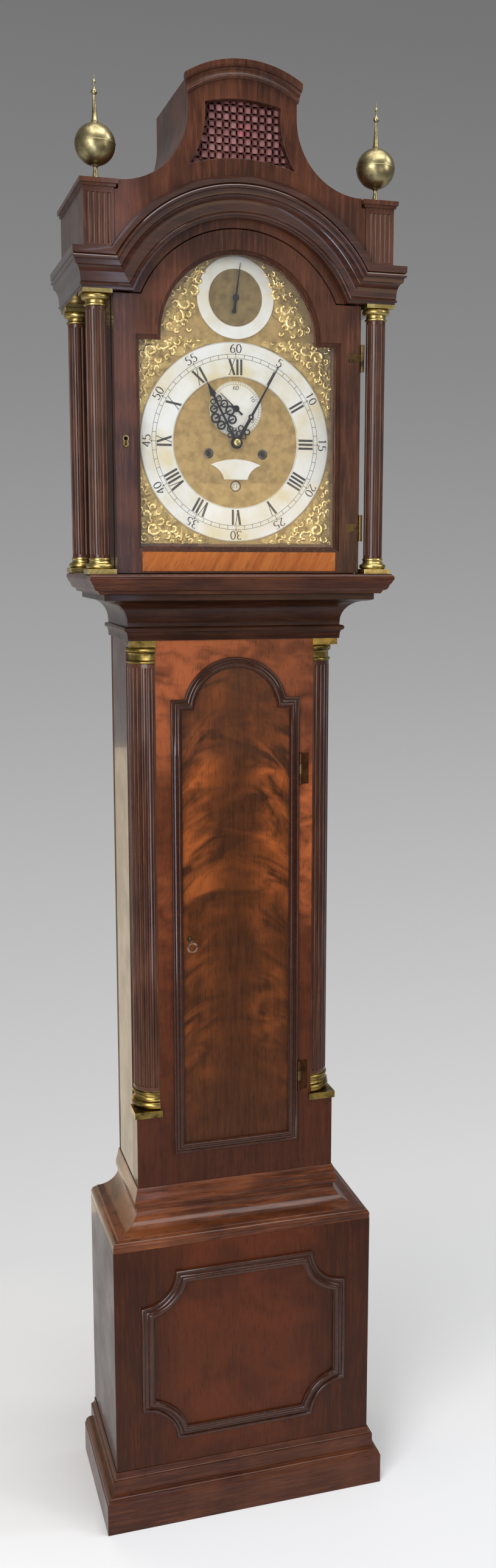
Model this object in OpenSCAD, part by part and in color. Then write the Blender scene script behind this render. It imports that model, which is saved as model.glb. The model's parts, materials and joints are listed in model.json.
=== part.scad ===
// Longcase clock: mahogany case, brass break-arch dial, eight-day movement with seconds pendulum.
// Drawn from the wall forwards and then centred on its footprint. Z is up and the front faces -Y.

/* [Base] */
// Height of the top of the base above the floor
base_h = 476.2; // [420:0.1:520]
// How far the base stands out from the trunk at the front and at each side
base_step = 51; // [40:0.5:60]
// How far the plinth board stands out from the base
plinth_step = 19; // [12:0.5:24]
// Height of the plinth with its moulding
plinth_h = 96; // [80:0.5:120]
// Height of the plain board at the foot of the plinth
plinth_board_h = 50.5; // [40:0.5:60]
// Thickness of the base boards
base_board = 16; // [12:0.5:20]
// Half width of the moulded panel on the base, to the outside of its moulding
panel_half_w = 172; // [150:0.5:180]
// Height of the foot of the panel above the floor
panel_foot = 140; // [125:0.5:160]
// Height of the panel, to the outside of its moulding
panel_h = 294; // [260:0.5:310]
// Radius of the hollow corners of the panel
panel_corner_r = 57; // [40:0.5:70]
// Width of the panel moulding
panel_mould_w = 20; // [14:0.5:26]
// Height of the panel moulding above the base front
panel_mould_t = 8; // [5:0.5:10]
// Height of the cove moulding between base and trunk
waist_h = 80.8; // [70:0.1:95]

/* [Trunk] */
// Half width of the trunk
trunk_half_w = 164.3; // [155:0.1:175]
// Depth of the trunk from the wall to its front
trunk_d = 165; // [160:0.5:175]
// Height of the trunk from the top of the base to the throat moulding
trunk_h = 960.3; // [900:0.1:1000]
// Thickness of the trunk sides
side_t = 15; // [12:0.5:18]
// Thickness of the front frame and of the door
frame_t = 18; // [15:0.5:18]
// Thickness of the backboard
back_t = 14; // [10:0.5:18]
// Radius of the quarter columns at the front corners
quarter_r = 36; // [32:0.5:38]
// Height of the block below a quarter column, from the top of the base
block_h = 199.2; // [180:0.1:220]
// Height of the brass base of a quarter column
quarter_base_h = 42; // [34:0.5:50]
// Height of the brass cap of a quarter column
quarter_cap_h = 36; // [30:0.5:44]
// Height of the throat moulding
throat_h = 70.5; // [62:0.1:80]

/* [Trunk door] */
// Distance from the edge of the lipped door to the side of the trunk
tdoor_stile = 60.8; // [56:0.1:69]
// Height of the foot of the door above the base
tdoor_rise = 133.3; // [125:0.1:150]
// Height from the top of the door to the throat moulding
tdoor_head_gap = 26.9; // [20:0.1:40]
// Radius of the arched head of the door, over the moulding
tdoor_arch_r = 84.1; // [74:0.1:90]
// How far the centre of the arch lies below the shoulders
tdoor_arch_drop = 20.5; // [10:0.5:26]
// Width of the lipped moulding
lip_w = 16.5; // [14:0.5:20]
// Height of the lipped moulding in front of the trunk
lip_t = 7; // [5:0.5:9]
// How much the moulding laps over the front frame
lip_lap = 10.5; // [8:0.5:12]
// Height of the lower hinge above the foot of the door
tdoor_hinge_low = 111; // [90:0.5:130]
// How far the upper hinge lies below the shoulders of the door
tdoor_hinge_drop = 115; // [90:0.5:140]
// Length of a hinge barrel on the trunk door
thinge_len = 50; // [40:0.5:60]
// Height of the keyhole above the foot of the door
tdoor_key_rise = 356.5; // [320:0.5:390]

/* [Hood] */
// How far the moulded foot of the hood stands out from the trunk
seat_step = 69.9; // [64:0.1:76]
// Height of the moulded foot of the hood
seat_h = 29.6; // [25:0.1:34]
// Height from the foot of the hood to the underside of the cornice
column_h = 397.8; // [385:0.1:420]
// How far the hood body stands out from the trunk on each side
hood_step = 24.2; // [20:0.1:25]
// Thickness of the hood sides
hood_side_t = 10; // [8:0.5:11]
// Distance of the hood columns' middle out from the hood body
column_out = 23.9; // [23:0.1:24.5]
// Distance of the front columns from the wall
column_front_y = 194; // [190:0.5:196]
// Distance of the rear columns from the wall
column_rear_y = 24; // [23:0.5:40]
// Radius of a hood column
column_r = 14.5; // [11:0.1:16]
// Height of the brass cap of a hood column
cap_h = 22.6; // [18:0.1:28]
// Height of the brass base of a hood column
foot_h = 23; // [18:0.1:28]
// Half width of the square cap plate
cap_half_w = 21.2; // [18:0.1:21.5]
// Length of a hinge barrel on the hood door
hhinge_len = 40; // [32:0.5:48]
// Distance of the cornice frieze from the wall
frieze_d = 214; // [210:0.5:218]
// How far the frieze stands out from the hood body on each side
frieze_step = 46.3; // [45.5:0.1:49.5]
// Height of the cornice moulding
cornice_h = 54; // [48:0.1:60]
// Projection of the cornice moulding
cornice_step = 14; // [10:0.5:18]
// Radius of the underside of the cornice arch
arch_r = 173; // [171:0.1:176]
// How far the centre of the arch lies below the cornice
arch_drop = 64.6; // [60:0.1:68]

/* [Pediment] */
// Radius of the hollow sides of the pediment
hollow_r = 101; // [96:0.1:104]
// Half width of the neck of the pediment
neck_half_w = 80; // [74:0.1:84]
// Height of the middle of the hollow sides above the cornice
hollow_rise = 194.4; // [190:0.1:200]
// Radius of the curved crest
crest_r = 162; // [150:0.1:170]
// Height of the crest above the cornice
crest_rise = 264.4; // [260:0.1:272]
// Height of the crest moulding
crest_mould_h = 24.6; // [18:0.1:28]
// How far the crest moulding stands in front of the pediment
crest_step = 10; // [6:0.5:14]
// Thickness of the pediment board
pediment_t = 14; // [10:0.5:16]
// Width of the frame around the fret
fret_frame_w = 25; // [20:0.5:30]
// Distance of the finial pedestals' middle in from the end of the frieze
pedestal_in = 25.8; // [24.8:0.1:26.3]
// Half width of a finial pedestal
pedestal_half_w = 22; // [20:0.1:24]
// Height of a finial pedestal with its cap
pedestal_h = 92; // [84:0.1:98]
// Radius of the ball of a finial
ball_r = 28.5; // [24:0.1:32]
// Height of a finial
finial_h = 142; // [130:0.5:150]

/* [Dial] */
// Height of the dial centre above the foot of the hood
dial_rise = 194.1; // [190:0.1:198]
// Half width of the square part of the dial
dial_half_w = 152.4; // [150:0.1:156]
// Radius of the arch of the dial
dial_arch_r = 123; // [121:0.1:126]
// Distance of the front of the dial plate from the wall
dial_y = 168; // [166:0.5:169]
// Thickness of the dial plate
dial_t = 3; // [2:0.5:3]
// Outer radius of the chapter ring
chapter_r = 146; // [142:0.1:147]
// Inner radius of the chapter ring
chapter_inner_r = 96; // [92:0.1:100]
// Thickness of the silvered rings
ring_t = 2; // [1.5:0.1:2.4]
// Radius of the seconds plate
seconds_r = 40; // [34:0.1:42]
// Outer radius of the ring in the arch
silent_r = 58.6; // [54:0.1:59]
// Inner radius of the ring in the arch
silent_inner_r = 41; // [36:0.1:46]
// Height of the ring in the arch above the dial centre
silent_rise = 209; // [207:0.1:210]
// Distance of the winding holes from the middle of the dial
winding_x = 42; // [41:0.1:43]
// How far the winding holes lie below the dial centre
winding_drop = 16; // [15:0.1:17]
// How far the calendar opening lies below the dial centre
date_drop = 63.5; // [60:0.1:67]

/* [Hands] */
// Length of the minute hand
minute_len = 130; // [120:0.5:138]
// Length of the hour hand
hour_len = 100; // [88:0.5:108]
// Length of the seconds hand
seconds_len = 33; // [28:0.5:36]
// Thickness of the hands
hand_t = 1.2; // [0.8:0.1:1.6]
// Half width of the bare plaque under the hands
plaque_half_w = 40; // [36:0.5:42]
// Distance of the top of the plaque below the middle of the dial
plaque_drop = 24; // [23:0.5:26]

/* [Movement] */
// Half width of the movement plates
plate_half_w = 88; // [86:0.5:92]
// Height of the movement plates
plate_h = 169; // [166:0.5:172]
// Thickness of the movement plates
plate_t = 3; // [2:0.1:3.5]
// Distance between the movement plates
plate_gap = 57; // [56:0.5:60]
// Distance of the back of the back plate from the wall
plate_back_y = 77; // [76:0.5:79]
// Height of the dial centre above the seatboard
seat_drop = 76; // [74:0.1:78]
// Thickness of the seatboard
seatboard_t = 15; // [12:0.5:18]
// Radius of the line drums
drum_r = 22; // [20:0.1:23]
// Teeth of the going great wheel
great_teeth = 96; // [96]
// Teeth of the centre wheel
centre_teeth = 60; // [60]
// Teeth of the third wheel
third_teeth = 56; // [56]
// Teeth of the strike great wheel
strike_teeth = 84; // [84]
// Leaves of the pinions of the trains
pinion_leaves = 8; // [8]
// Leaves of the escape pinion
escape_leaves = 7; // [7]
// Radius of the escape wheel
escape_r = 20; // [18:0.1:21]
// Height of the escape arbor above the dial centre
escape_rise = 49.7; // [49:0.1:50.5]

/* [Pendulum and weights] */
// Distance of the pendulum from the wall
pendulum_y = 58; // [56:0.5:60]
// Length of the pendulum from its suspension to the middle of the bob
pendulum_l = 994; // [960:1:1010]
// Radius of the bob
bob_r = 52; // [44:0.5:56]
// Thickness of the bob
bob_t = 26; // [20:0.5:26]
// Radius of the pendulum rod
rod_r = 3.2; // [2.5:0.1:3.2]
// Radius of a driving weight
weight_r = 28; // [24:0.5:29]
// Length of a driving weight
weight_l = 190; // [160:1:220]
// How far the pulleys hang below the seatboard when fully wound
pulley_drop = 190; // [170:1:210]
// Radius of the bottom of the pulley groove
pulley_r = 21; // [19:0.1:22]
// Radius of the gut lines
gut_r = 0.8; // [0.6:0.1:1]
// Radius of the bell
bell_r = 46; // [40:0.5:50]

/* [Clearances] */
// Gap between faces that slide or swing past each other
slide_gap = 0.3; // [0.2:0.05:0.5]
// Gap around the doors in their openings
door_gap = 1.4; // [1.3:0.1:1.8]
// Radial clearance of a pin or an arbor in its hole
pin_gap = 0.05; // [0.02:0.01:0.08]

/* [Hidden] */
$fn = 64;
big = 600;
eps = 0.01;
mahogany = "#4a2618";
flame = "#5e3019";
brass = "#b59a45";
old_brass = "#8c7c4c";
silver = "#c9c6bd";
steel = "#2c2e33";
silk = "#9c5055";

base_half_w = trunk_half_w + base_step;
hood_half_w = trunk_half_w + hood_step;
column_x = hood_half_w + column_out;
frieze_half_w = hood_half_w + frieze_step;
pedestal_x = frieze_half_w - pedestal_in;
tdoor_half_w = trunk_half_w - tdoor_stile;
base_d = trunk_d + base_step;
foot_d = base_d + plinth_step;
trunk_top = base_h + trunk_h;
throat_top = trunk_top + throat_h;
hood_z = throat_top + slide_gap;
seat_top = hood_z + seat_h;
cornice_z = seat_top + column_h;
cornice_top = cornice_z + cornice_h;
arch_z = cornice_z - arch_drop;
hollow_z = cornice_top + hollow_rise;
hollow_x = neck_half_w + hollow_r;
crest_z = cornice_top + crest_rise - crest_r;
pedestal_top = cornice_top + pedestal_h;
column_top = cornice_z - cap_h;
column_foot = seat_top + foot_h;

// Trunk front
frame_back = trunk_d - frame_t;
quarter_x = trunk_half_w - quarter_r - 1.3;
quarter_y = trunk_d - quarter_r - 1;
frame_half_w = quarter_x - 0.5;
block_top = base_h + block_h;
shaft_foot = block_top + quarter_base_h;
shaft_top = trunk_top - quarter_cap_h;
trunk_foot = base_h - 36;
tdoor_z = base_h + tdoor_rise;
tdoor_h = trunk_h - tdoor_rise - tdoor_head_gap - tdoor_arch_r + tdoor_arch_drop;
tdoor_front = trunk_d + slide_gap;
leaf_t = 1.5;
knuckle_r = 3.2;
hinge_pin_r = 1.6;
thinge_x = tdoor_half_w + 2;
thinge_y = tdoor_front + knuckle_r + 0.5;
thinge_zs = [tdoor_z + tdoor_hinge_low, tdoor_z + tdoor_h - tdoor_hinge_drop];
key_x = -(tdoor_half_w - 27);
key_z = tdoor_z + tdoor_key_rise;

// Hood front
hdoor_t = 20;
hdoor_front = frieze_d - 16;
hdoor_back = hdoor_front - hdoor_t;
hdoor_half_w = hood_half_w - 1;
hdoor_z = seat_top + door_gap;
hdoor_shoulder = cornice_z - door_gap - 0.2;
hdoor_arch_r = arch_r - 13;
hhinge_x = hood_half_w + 1;
hhinge_y = hdoor_front + 1.5;
dial_z = seat_top + dial_rise;
dial_foot = dial_z - dial_half_w;
dial_shoulder = dial_z + dial_half_w;
dial_arch_z = dial_shoulder - 5.3;
hhinge_zs = [dial_foot + 27.5, dial_shoulder - 25.8];
mask_front = hdoor_back - door_gap;
mask_t = 6;
mask_back = mask_front - mask_t;
pedestal_front = frieze_d + 1.5;
pediment_half_w = pedestal_x - pedestal_half_w;

// Movement
back_plate_front = plate_back_y + plate_t;
front_plate_back = back_plate_front + plate_gap;
front_plate_front = front_plate_back + plate_t;
seatboard_top = dial_z - seat_drop;
seatboard_z = seatboard_top - seatboard_t;
pulley_z = seatboard_z - pulley_drop;
winding_z = dial_z - winding_drop;
barrel_dist = sqrt(winding_x * winding_x + winding_drop * winding_drop);
great_m = 2 * barrel_dist / (great_teeth + pinion_leaves);
third_m = 0.8;
third_dist = third_m * (centre_teeth + pinion_leaves) / 2;
escape_m = 0.76;
escape_dist = escape_m * (third_teeth + escape_leaves) / 2;
third_up = (third_dist * third_dist - escape_dist * escape_dist + escape_rise * escape_rise)
    / (2 * escape_rise);
third_side = -sqrt(third_dist * third_dist - third_up * third_up);
escape_z = dial_z + escape_rise;
pallet_z = escape_z + escape_r * sqrt(2);
strike_m = 0.87;
pin_wheel_z = winding_z + strike_m * (strike_teeth + pinion_leaves) / 2;
pin_wheel_teeth = 56;
cannon_m = 0.7;
cannon_teeth = 36;
minute_dist = cannon_m * cannon_teeth;
motion_pinion = 6;
hour_teeth = 72;
motion_m = 2 * minute_dist / (motion_pinion + hour_teeth);
great_y = plate_back_y + 17;
drum_back = great_y + 3;
drum_front = front_plate_back - 4;
line_y = (drum_front + drum_back) / 2 - 3;
line_x = winding_x + drum_r + gut_r;
pulley_x = line_x + pulley_r + gut_r;
line_far_x = pulley_x + pulley_r + gut_r;
arbor_r = 1.5;
minute_at = 30;
hour_at = -27.5;
seconds_at = -48;
silent_at = 8;
silent_z = dial_z + silent_rise;
hour_y = dial_y + 6;
minute_y = hour_y + 3;
bell_z = pallet_z + 34;
bell_y = 112;
hammer_x = -52;
hammer_z = dial_z + 86;

// Moves what is drawn from the wall forwards so that the footprint is centred on the origin
module from_wall() translate([0, foot_d / 2, 0]) children();

// Extrudes an outline drawn in X and Z from depth y0 to depth y1, both measured from the wall
module upright(y0, y1) translate([0, -y0, 0]) rotate([90, 0, 0]) linear_extrude(y1 - y0) children();

// A board between two corners, with depth measured from the wall
module board(x0, x1, y0, y1, z0, z1) translate([x0, -y1, z0]) cube([x1 - x0, y1 - y0, z1 - z0]);

// A round bar along Y from depth y0 to depth y1
module bar_y(x, z, r, y0, y1) translate([x, -y0, z]) rotate([90, 0, 0]) cylinder(r = r, h = y1 - y0);

// Points on an arc about a centre
function arc(c, r, a0, a1, n) = [for (i = [0:n]) let (a = a0 + (a1 - a0) * i / n)
    [c[0] + r * cos(a), c[1] + r * sin(a)]];

// A moulding carried round the left side, front and right side of a box, mitred at the corners.
// Each point of the profile is a projection from the box and a height.
module mitred_run(profile, half_w, depth) {
    reach = 90;
    inside = 40;
    intersection() {
        translate([-half_w - reach, 0, 0]) rotate([90, 0, 90]) linear_extrude(2 * (half_w + reach))
            polygon([for (p = profile) [-(depth + p[0]), p[1]]]);
        linear_extrude(3000) polygon([
            [-(half_w + reach), -(depth + reach)], [half_w + reach, -(depth + reach)],
            [half_w - inside, -(depth - inside)], [-(half_w - inside), -(depth - inside)]
        ]);
    }
    for (s = [-1, 1]) intersection() {
        rotate([90, 0, 0]) linear_extrude(depth + reach)
            polygon([for (p = profile) [s * (half_w + p[0]), p[1]]]);
        linear_extrude(3000) polygon([
            [s * (half_w + reach), -(depth + reach)], [s * (half_w + reach), 0],
            [s * (half_w - inside), 0], [s * (half_w - inside), -(depth - inside)]
        ]);
    }
}

// Break-arch outline: a rectangle with a round arch standing on its shoulders
module break_arch(half_w, foot, shoulder, r, centre) {
    translate([-half_w, foot]) square([2 * half_w, shoulder - foot]);
    intersection() {
        translate([0, centre]) circle(r = r, $fn = 128);
        translate([-half_w, foot]) square([2 * half_w, centre + r - foot + 1]);
    }
}

// Toothed outline with a tooth centred on the X axis. Teeth are slack, so that meshed pairs run free.
function toothed(n, m, slack) = let (
        pitch_r = m * n / 2, root = pitch_r - 1.25 * m, tip = pitch_r + 0.9 * m, q = 90 / n)
    [for (i = [0:n - 1]) for (p = [[-1.15, root], [-0.4 * slack, tip], [0.4 * slack, tip], [1.15, root]])
        let (a = 360 * i / n + p[0] * q) p[1] * [cos(a), sin(a)]];

// Crossed-out wheel with a rim, five arms and a hub
module crossed_wheel(n, m, slack, t) {
    pitch_r = m * n / 2;
    linear_extrude(t) difference() {
        polygon(toothed(n, m, slack));
        if (pitch_r > 12) difference() {
            circle(r = pitch_r - 1.25 * m - 2.4);
            circle(r = 5);
            for (i = [0:4]) rotate(72 * i + 18) translate([0, -1.4]) square([pitch_r, 2.8]);
        }
    }
}

// A wheel or pinion on an arbor: its middle, its depth from the wall, its thickness and its turn
module wheel_at(x, z, y, n, m, slack, t, turn) translate([x, -y, z]) rotate([90, 0, 0])
    rotate(turn) crossed_wheel(n, m, slack, t);

module plinth() color(mahogany) from_wall() {
    s = plinth_step;
    top = plinth_h;
    face = s - 10;
    mitred_run(concat(
        [[0, 0], [s, 0], [s, plinth_board_h], [s - 1.5, plinth_board_h + 2]],
        arc([face, plinth_board_h + 2], s - 1.5 - face, 0, 90, 6),
        [[face - 1.5, plinth_board_h + 10.5], [face - 1.5, top - 13]],
        arc([face - 1.5, top - 4.5], 6, 270, 180, 6),
        [[1.5, top], [0, top]]
    ), base_half_w, base_d);
}

module base_boards() color(mahogany) from_wall() {
    inner = base_half_w - base_board;
    board(-base_half_w, base_half_w, base_d - base_board, base_d, 5, base_h);
    for (s = [-1, 1]) mirror([s > 0 ? 0 : 1, 0, 0])
        board(inner, base_half_w, 0, base_d - base_board, 5, base_h);
}

// Outline of the base panel, a rectangle with hollow corners
module panel_outline(inset) difference() {
    translate([-panel_half_w + inset, panel_foot + inset])
        square([2 * (panel_half_w - inset), panel_h - 2 * inset]);
    for (x = [-panel_half_w, panel_half_w], z = [panel_foot, panel_foot + panel_h])
        translate([x, z]) circle(r = panel_corner_r + inset);
}

// One step of the panel moulding, between two insets
module panel_ring(outer, inner, height) upright(base_d, base_d + height) difference() {
    panel_outline(outer);
    panel_outline(inner);
}

module base_panel_moulding() color(mahogany) from_wall() {
    w = panel_mould_w;
    t = panel_mould_t;
    panel_ring(0, w, 0.45 * t);
    panel_ring(0.06 * w, 0.16 * w, 0.65 * t);
    panel_ring(0.3 * w, w, 0.6 * t);
    panel_ring(0.4 * w, 0.96 * w, 0.8 * t);
    panel_ring(0.52 * w, 0.88 * w, t);
}

module waist_moulding() color(mahogany) from_wall() {
    z = base_h;
    p = base_step;
    top = base_h + waist_h;
    mitred_run(concat(
        [[0, z], [p, z]],
        arc([p - 9, z + 7], 9, -20, 90, 7),
        [for (i = [0:9]) let (a = 90 - 10 * i)
            [p - 11 - (p - 13.5) * cos(a), z + 47.3 - 30 * sin(a)]],
        [[2.5, z + 49], [7, z + 50], [7.4, z + 55], [6.6, z + 60], [5, z + 66], [3, z + 74]],
        [[2.6, top - 4], [1.2, top], [0, top]]
    ), trunk_half_w, trunk_d);
}

module backboard() color(mahogany) from_wall() {
    inner = base_half_w - base_board;
    board(-inner, inner, 0, back_t, 5, base_h - 1);
    board(-trunk_half_w, trunk_half_w, 0, back_t, base_h - 1, seat_top + slide_gap + 1);
    board(-hood_half_w + hood_side_t + 1, hood_half_w - hood_side_t - 1, 0, back_t,
        seat_top + slide_gap, cornice_top + 72);
}

module trunk_sides() color(mahogany) from_wall() for (s = [0, 1]) mirror([s, 0, 0])
    board(trunk_half_w - side_t, trunk_half_w, back_t, quarter_y, trunk_foot, seatboard_z);

// Outline of the trunk door, drawn in by an inset from the outside of its moulding
module tdoor_outline(inset) break_arch(tdoor_half_w - inset, tdoor_z + inset,
    tdoor_z + tdoor_h - inset, tdoor_arch_r - inset, tdoor_z + tdoor_h - tdoor_arch_drop);

module trunk_front_frame() color(flame) from_wall() {
    difference() {
        union() {
            board(-frame_half_w, frame_half_w, frame_back, trunk_d, trunk_foot, throat_top);
            for (s = [0, 1]) mirror([s, 0, 0]) {
                board(frame_half_w, trunk_half_w, quarter_y, trunk_d, trunk_foot, block_top);
                board(frame_half_w, trunk_half_w, quarter_y, trunk_d, trunk_top, throat_top);
            }
        }
        upright(frame_back - 1, trunk_d + 1) tdoor_outline(lip_lap);
        for (z = thinge_zs) board(thinge_x - 1, thinge_x + 15, trunk_d - leaf_t, trunk_d + 1,
            z - thinge_len / 2, z + thinge_len / 2);
        board(-tdoor_half_w + lip_lap - 14, -tdoor_half_w + lip_lap + 1, frame_back + 4,
            frame_back + 9, key_z - 16, key_z + 16);
    }
}

module trunk_columns() color(mahogany) from_wall() for (s = [0, 1]) mirror([s, 0, 0])
    translate([quarter_x, -quarter_y, shaft_foot]) difference() {
        intersection() {
            cylinder(r = quarter_r, h = shaft_top - shaft_foot);
            translate([-0.5, -big, -1]) cube([big, big, big * 3]);
        }
        for (i = [0:6]) let (a = -82 + 12.4 * i) translate([(quarter_r + 0.6) * cos(a),
            (quarter_r + 0.6) * sin(a), 6]) cylinder(r = 2.9, h = shaft_top - shaft_foot - 12, $fn = 24);
    }

// Quarter of a turned moulding, kept to the corner outside the front frame
module quarter_turned(points) intersection() {
    rotate_extrude() polygon(points);
    translate([-0.5, -big, -big]) cube([big, big, 2 * big]);
}

module trunk_column_brasses() color(brass) from_wall() for (s = [0, 1]) mirror([s, 0, 0])
    translate([quarter_x, -quarter_y, 0]) {
        r = quarter_r;
        translate([0, 0, block_top]) {
            translate([-0.5, -r - 5, 0]) cube([r + 5.5, r + 5, 11]);
            translate([-4, -r - 5, 0]) cube([4, r + 5 - trunk_d + quarter_y, 11]);
            quarter_turned(concat([[0, 11]], arc([r - 3, 18], 7, -80, 80, 8), [[r - 1, 25.6]],
                arc([r + 4.5, 31], 5.2, 250, 140, 5), arc([r - 1, 37.5], 2.6, -60, 90, 4),
                [[r - 1, quarter_base_h], [0, quarter_base_h]]));
        }
        translate([0, 0, shaft_top]) {
            quarter_turned(concat([[0, 0], [r - 0.6, 0]], arc([r - 0.6, 2.6], 2.4, -80, 80, 5),
                [[r - 1, 6], [r - 1, 13]], arc([r + 3.4, 13], 4.4, 180, 100, 4),
                arc([r - 2, 21], 5, -50, 60, 5), [[0, 26]]));
            translate([-0.5, -r - 2.5, 26]) cube([r + 3, r + 2.5, quarter_cap_h - 26]);
            translate([-2, -r - 2.5, 26]) cube([2, r + 2.5 - trunk_d + quarter_y, quarter_cap_h - 26]);
        }
    }

module throat_moulding() color(mahogany) from_wall() {
    z = trunk_top;
    p = seat_step - 24.4;
    mitred_run(concat(
        [[0, z], [4, z], [4.5, z + 8], [6, z + 12.5]],
        arc([6.5, z + 17], 3.8, -60, 80, 6), [[4, z + 21], [4.2, z + 26]],
        [for (i = [1:8]) let (a = 90 - 11.25 * i) [p - 9 - (p - 13.2) * sin(a), z + 26 + 33 * cos(a)]],
        [[p - 4, z + 60.2], [p, z + 61.5], [p, z + throat_h], [0, z + throat_h]]
    ), trunk_half_w, trunk_d);
}

module seatboard() color(mahogany) from_wall() difference() {
    board(-trunk_half_w, trunk_half_w, plate_back_y - 2, frame_back, seatboard_z, seatboard_top);
    for (s = [-1, 1]) {
        board(s * line_x - 4, s * line_x + 4, line_y - 10, line_y + 10, seatboard_z - 1,
            seatboard_top + 1);
        translate([s * line_far_x, -line_y, seatboard_z - 1])
            cylinder(r = gut_r + 0.4, h = seatboard_t + 2, $fn = 24);
    }
}

module trunk_hinges() color(old_brass) from_wall() for (z = thinge_zs) {
    third = thinge_len / 3;
    translate([thinge_x, -thinge_y, z - thinge_len / 2]) {
        cylinder(r = hinge_pin_r, h = thinge_len);
        for (k = [0, 2 * third]) translate([0, 0, k]) {
            cylinder(r = knuckle_r, h = third - slide_gap);
            cube([knuckle_r, thinge_y - trunk_d + leaf_t, third - slide_gap]);
        }
    }
    board(thinge_x, thinge_x + 14, trunk_d - leaf_t, trunk_d, z - thinge_len / 2, z + thinge_len / 2);
}

module trunk_door() color(flame) from_wall() difference() {
    upright(frame_back - slide_gap, tdoor_front) tdoor_outline(lip_lap + door_gap);
    board(-tdoor_half_w + lip_lap + door_gap - 1, key_x + 14, frame_back + 2, frame_back + 11,
        key_z - 22, key_z + 22);
    bar_y(key_x, key_z, 2.6, frame_back + 10, tdoor_front + 1);
}

// One step of the lipped moulding, between two insets
module lip_ring(outer, inner, height) upright(tdoor_front, tdoor_front + height) difference() {
    tdoor_outline(outer);
    tdoor_outline(inner);
}

module trunk_door_moulding() color(mahogany) from_wall() difference() {
    union() {
        w = lip_w;
        t = lip_t;
        lip_ring(0, w, 0.4 * t);
        lip_ring(0.06 * w, 0.22 * w, 0.75 * t);
        lip_ring(0.32 * w, w, 0.55 * t);
        lip_ring(0.44 * w, 0.96 * w, 0.8 * t);
        lip_ring(0.56 * w, 0.88 * w, t);
    }
    for (z = thinge_zs) {
        translate([thinge_x, -thinge_y, z - thinge_len / 2 - slide_gap])
            cylinder(r = knuckle_r + slide_gap, h = thinge_len + 2 * slide_gap);
        board(tdoor_half_w - 13, thinge_x, tdoor_front - 1, tdoor_front + leaf_t,
            z - thinge_len / 2, z + thinge_len / 2);
        board(thinge_x - knuckle_r - slide_gap, thinge_x, tdoor_front, thinge_y, z - thinge_len / 2,
            z + thinge_len / 2);
    }
}

module trunk_door_fittings() color(old_brass) from_wall() {
    third = thinge_len / 3;
    for (z = thinge_zs) {
        translate([thinge_x, -thinge_y, z - third / 2]) difference() {
            union() {
                cylinder(r = knuckle_r, h = third - slide_gap);
                translate([-knuckle_r, 0, 0]) cube([knuckle_r, thinge_y - tdoor_front, third - slide_gap]);
            }
            translate([0, 0, -1]) cylinder(r = hinge_pin_r + pin_gap, h = third + 2);
        }
        board(tdoor_half_w - 13, thinge_x - knuckle_r, tdoor_front, tdoor_front + leaf_t,
            z - thinge_len / 2, z + thinge_len / 2);
        board(thinge_x - knuckle_r - eps, thinge_x - hinge_pin_r - 1, tdoor_front,
            tdoor_front + leaf_t, z - third / 2, z + third / 2 - slide_gap);
    }
    // Lock in its mortise, with its bolt and the plate around the keyhole
    difference() {
        union() {
            board(-tdoor_half_w + lip_lap + door_gap, key_x + 13, frame_back + 2.5, frame_back + 10.5,
                key_z - 21, key_z + 21);
            bar_y(key_x, key_z, 5, tdoor_front, tdoor_front + 0.8);
        }
        bar_y(key_x, key_z, 2.4, frame_back, tdoor_front + 2);
    }
}

module trunk_door_key() color(steel) from_wall() {
    bar_y(key_x, key_z, 2, frame_back + 4, tdoor_front + 20);
    upright(tdoor_front + 19, tdoor_front + 21.5) translate([key_x, key_z - 9]) difference() {
        circle(r = 8.5);
        circle(r = 5.8);
    }
    board(key_x - 1, key_x + 1, tdoor_front + 1.5, tdoor_front + 4, key_z - 3.4, key_z + 3.4);
}

module hood_base_frame() color(mahogany) from_wall() {
    z = hood_z;
    p = seat_step;
    mitred_run(concat(
        [[1, z], [p - 16, z], [p - 15.5, z + 1.6], [p - 13.4, z + 4.8]],
        arc([p - 13.4, z + 11.5], 6.7, -90, -30, 3),
        [[p - 5.5, z + 13.4], [p - 3, z + 16.5]],
        arc([p - 5.6, z + 23.4], 5.6, -50, 70, 7),
        [[p - 3.4, z + seat_h], [1, z + seat_h]]
    ), trunk_half_w, trunk_d);
}

module hood_sides() color(mahogany) from_wall() for (s = [0, 1]) mirror([s, 0, 0])
    board(hood_half_w - hood_side_t, hood_half_w, 0, mask_front, seat_top, cornice_z);

// Outline of the dial with its arch, drawn in by an inset
module dial_outline(inset) break_arch(dial_half_w - inset, dial_foot + inset,
    dial_shoulder - inset, dial_arch_r - inset, dial_arch_z);

module hood_mask() color(mahogany) from_wall() {
    inner = hood_half_w - hood_side_t;
    difference() {
        upright(mask_back, mask_front) break_arch(inner, seat_top, cornice_z - 1, arch_r + 4, arch_z);
        upright(mask_back - 1, mask_front + 1) dial_outline(2.5);
    }
    // Rail over the door, under the cornice
    upright(mask_front, frieze_d - pediment_t) difference() {
        break_arch(inner - 1, cornice_z - 1.2, cornice_z - 1, arch_r + 1, arch_z);
        break_arch(hood_half_w + 1, seat_top, cornice_z, hdoor_arch_r + 1.5, arch_z);
    }
}

// Fluted shaft standing at a height
module fluted_shaft(r, z0, z1, flutes) translate([0, 0, z0]) difference() {
    cylinder(r = r, h = z1 - z0);
    for (i = [0:flutes - 1]) rotate(360 * i / flutes + 360 / flutes / 2)
        translate([r + 0.5, 0, 5]) cylinder(r = r * 0.145, h = z1 - z0 - 10, $fn = 16);
}

// Places what is drawn once on each of the four hood columns
module on_hood_columns() for (x = [-column_x, column_x], y = [column_front_y, column_rear_y])
    translate([x, -y, 0]) children();

module hood_columns() color(mahogany) from_wall() on_hood_columns()
    fluted_shaft(column_r, column_foot, column_top, 12);

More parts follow.
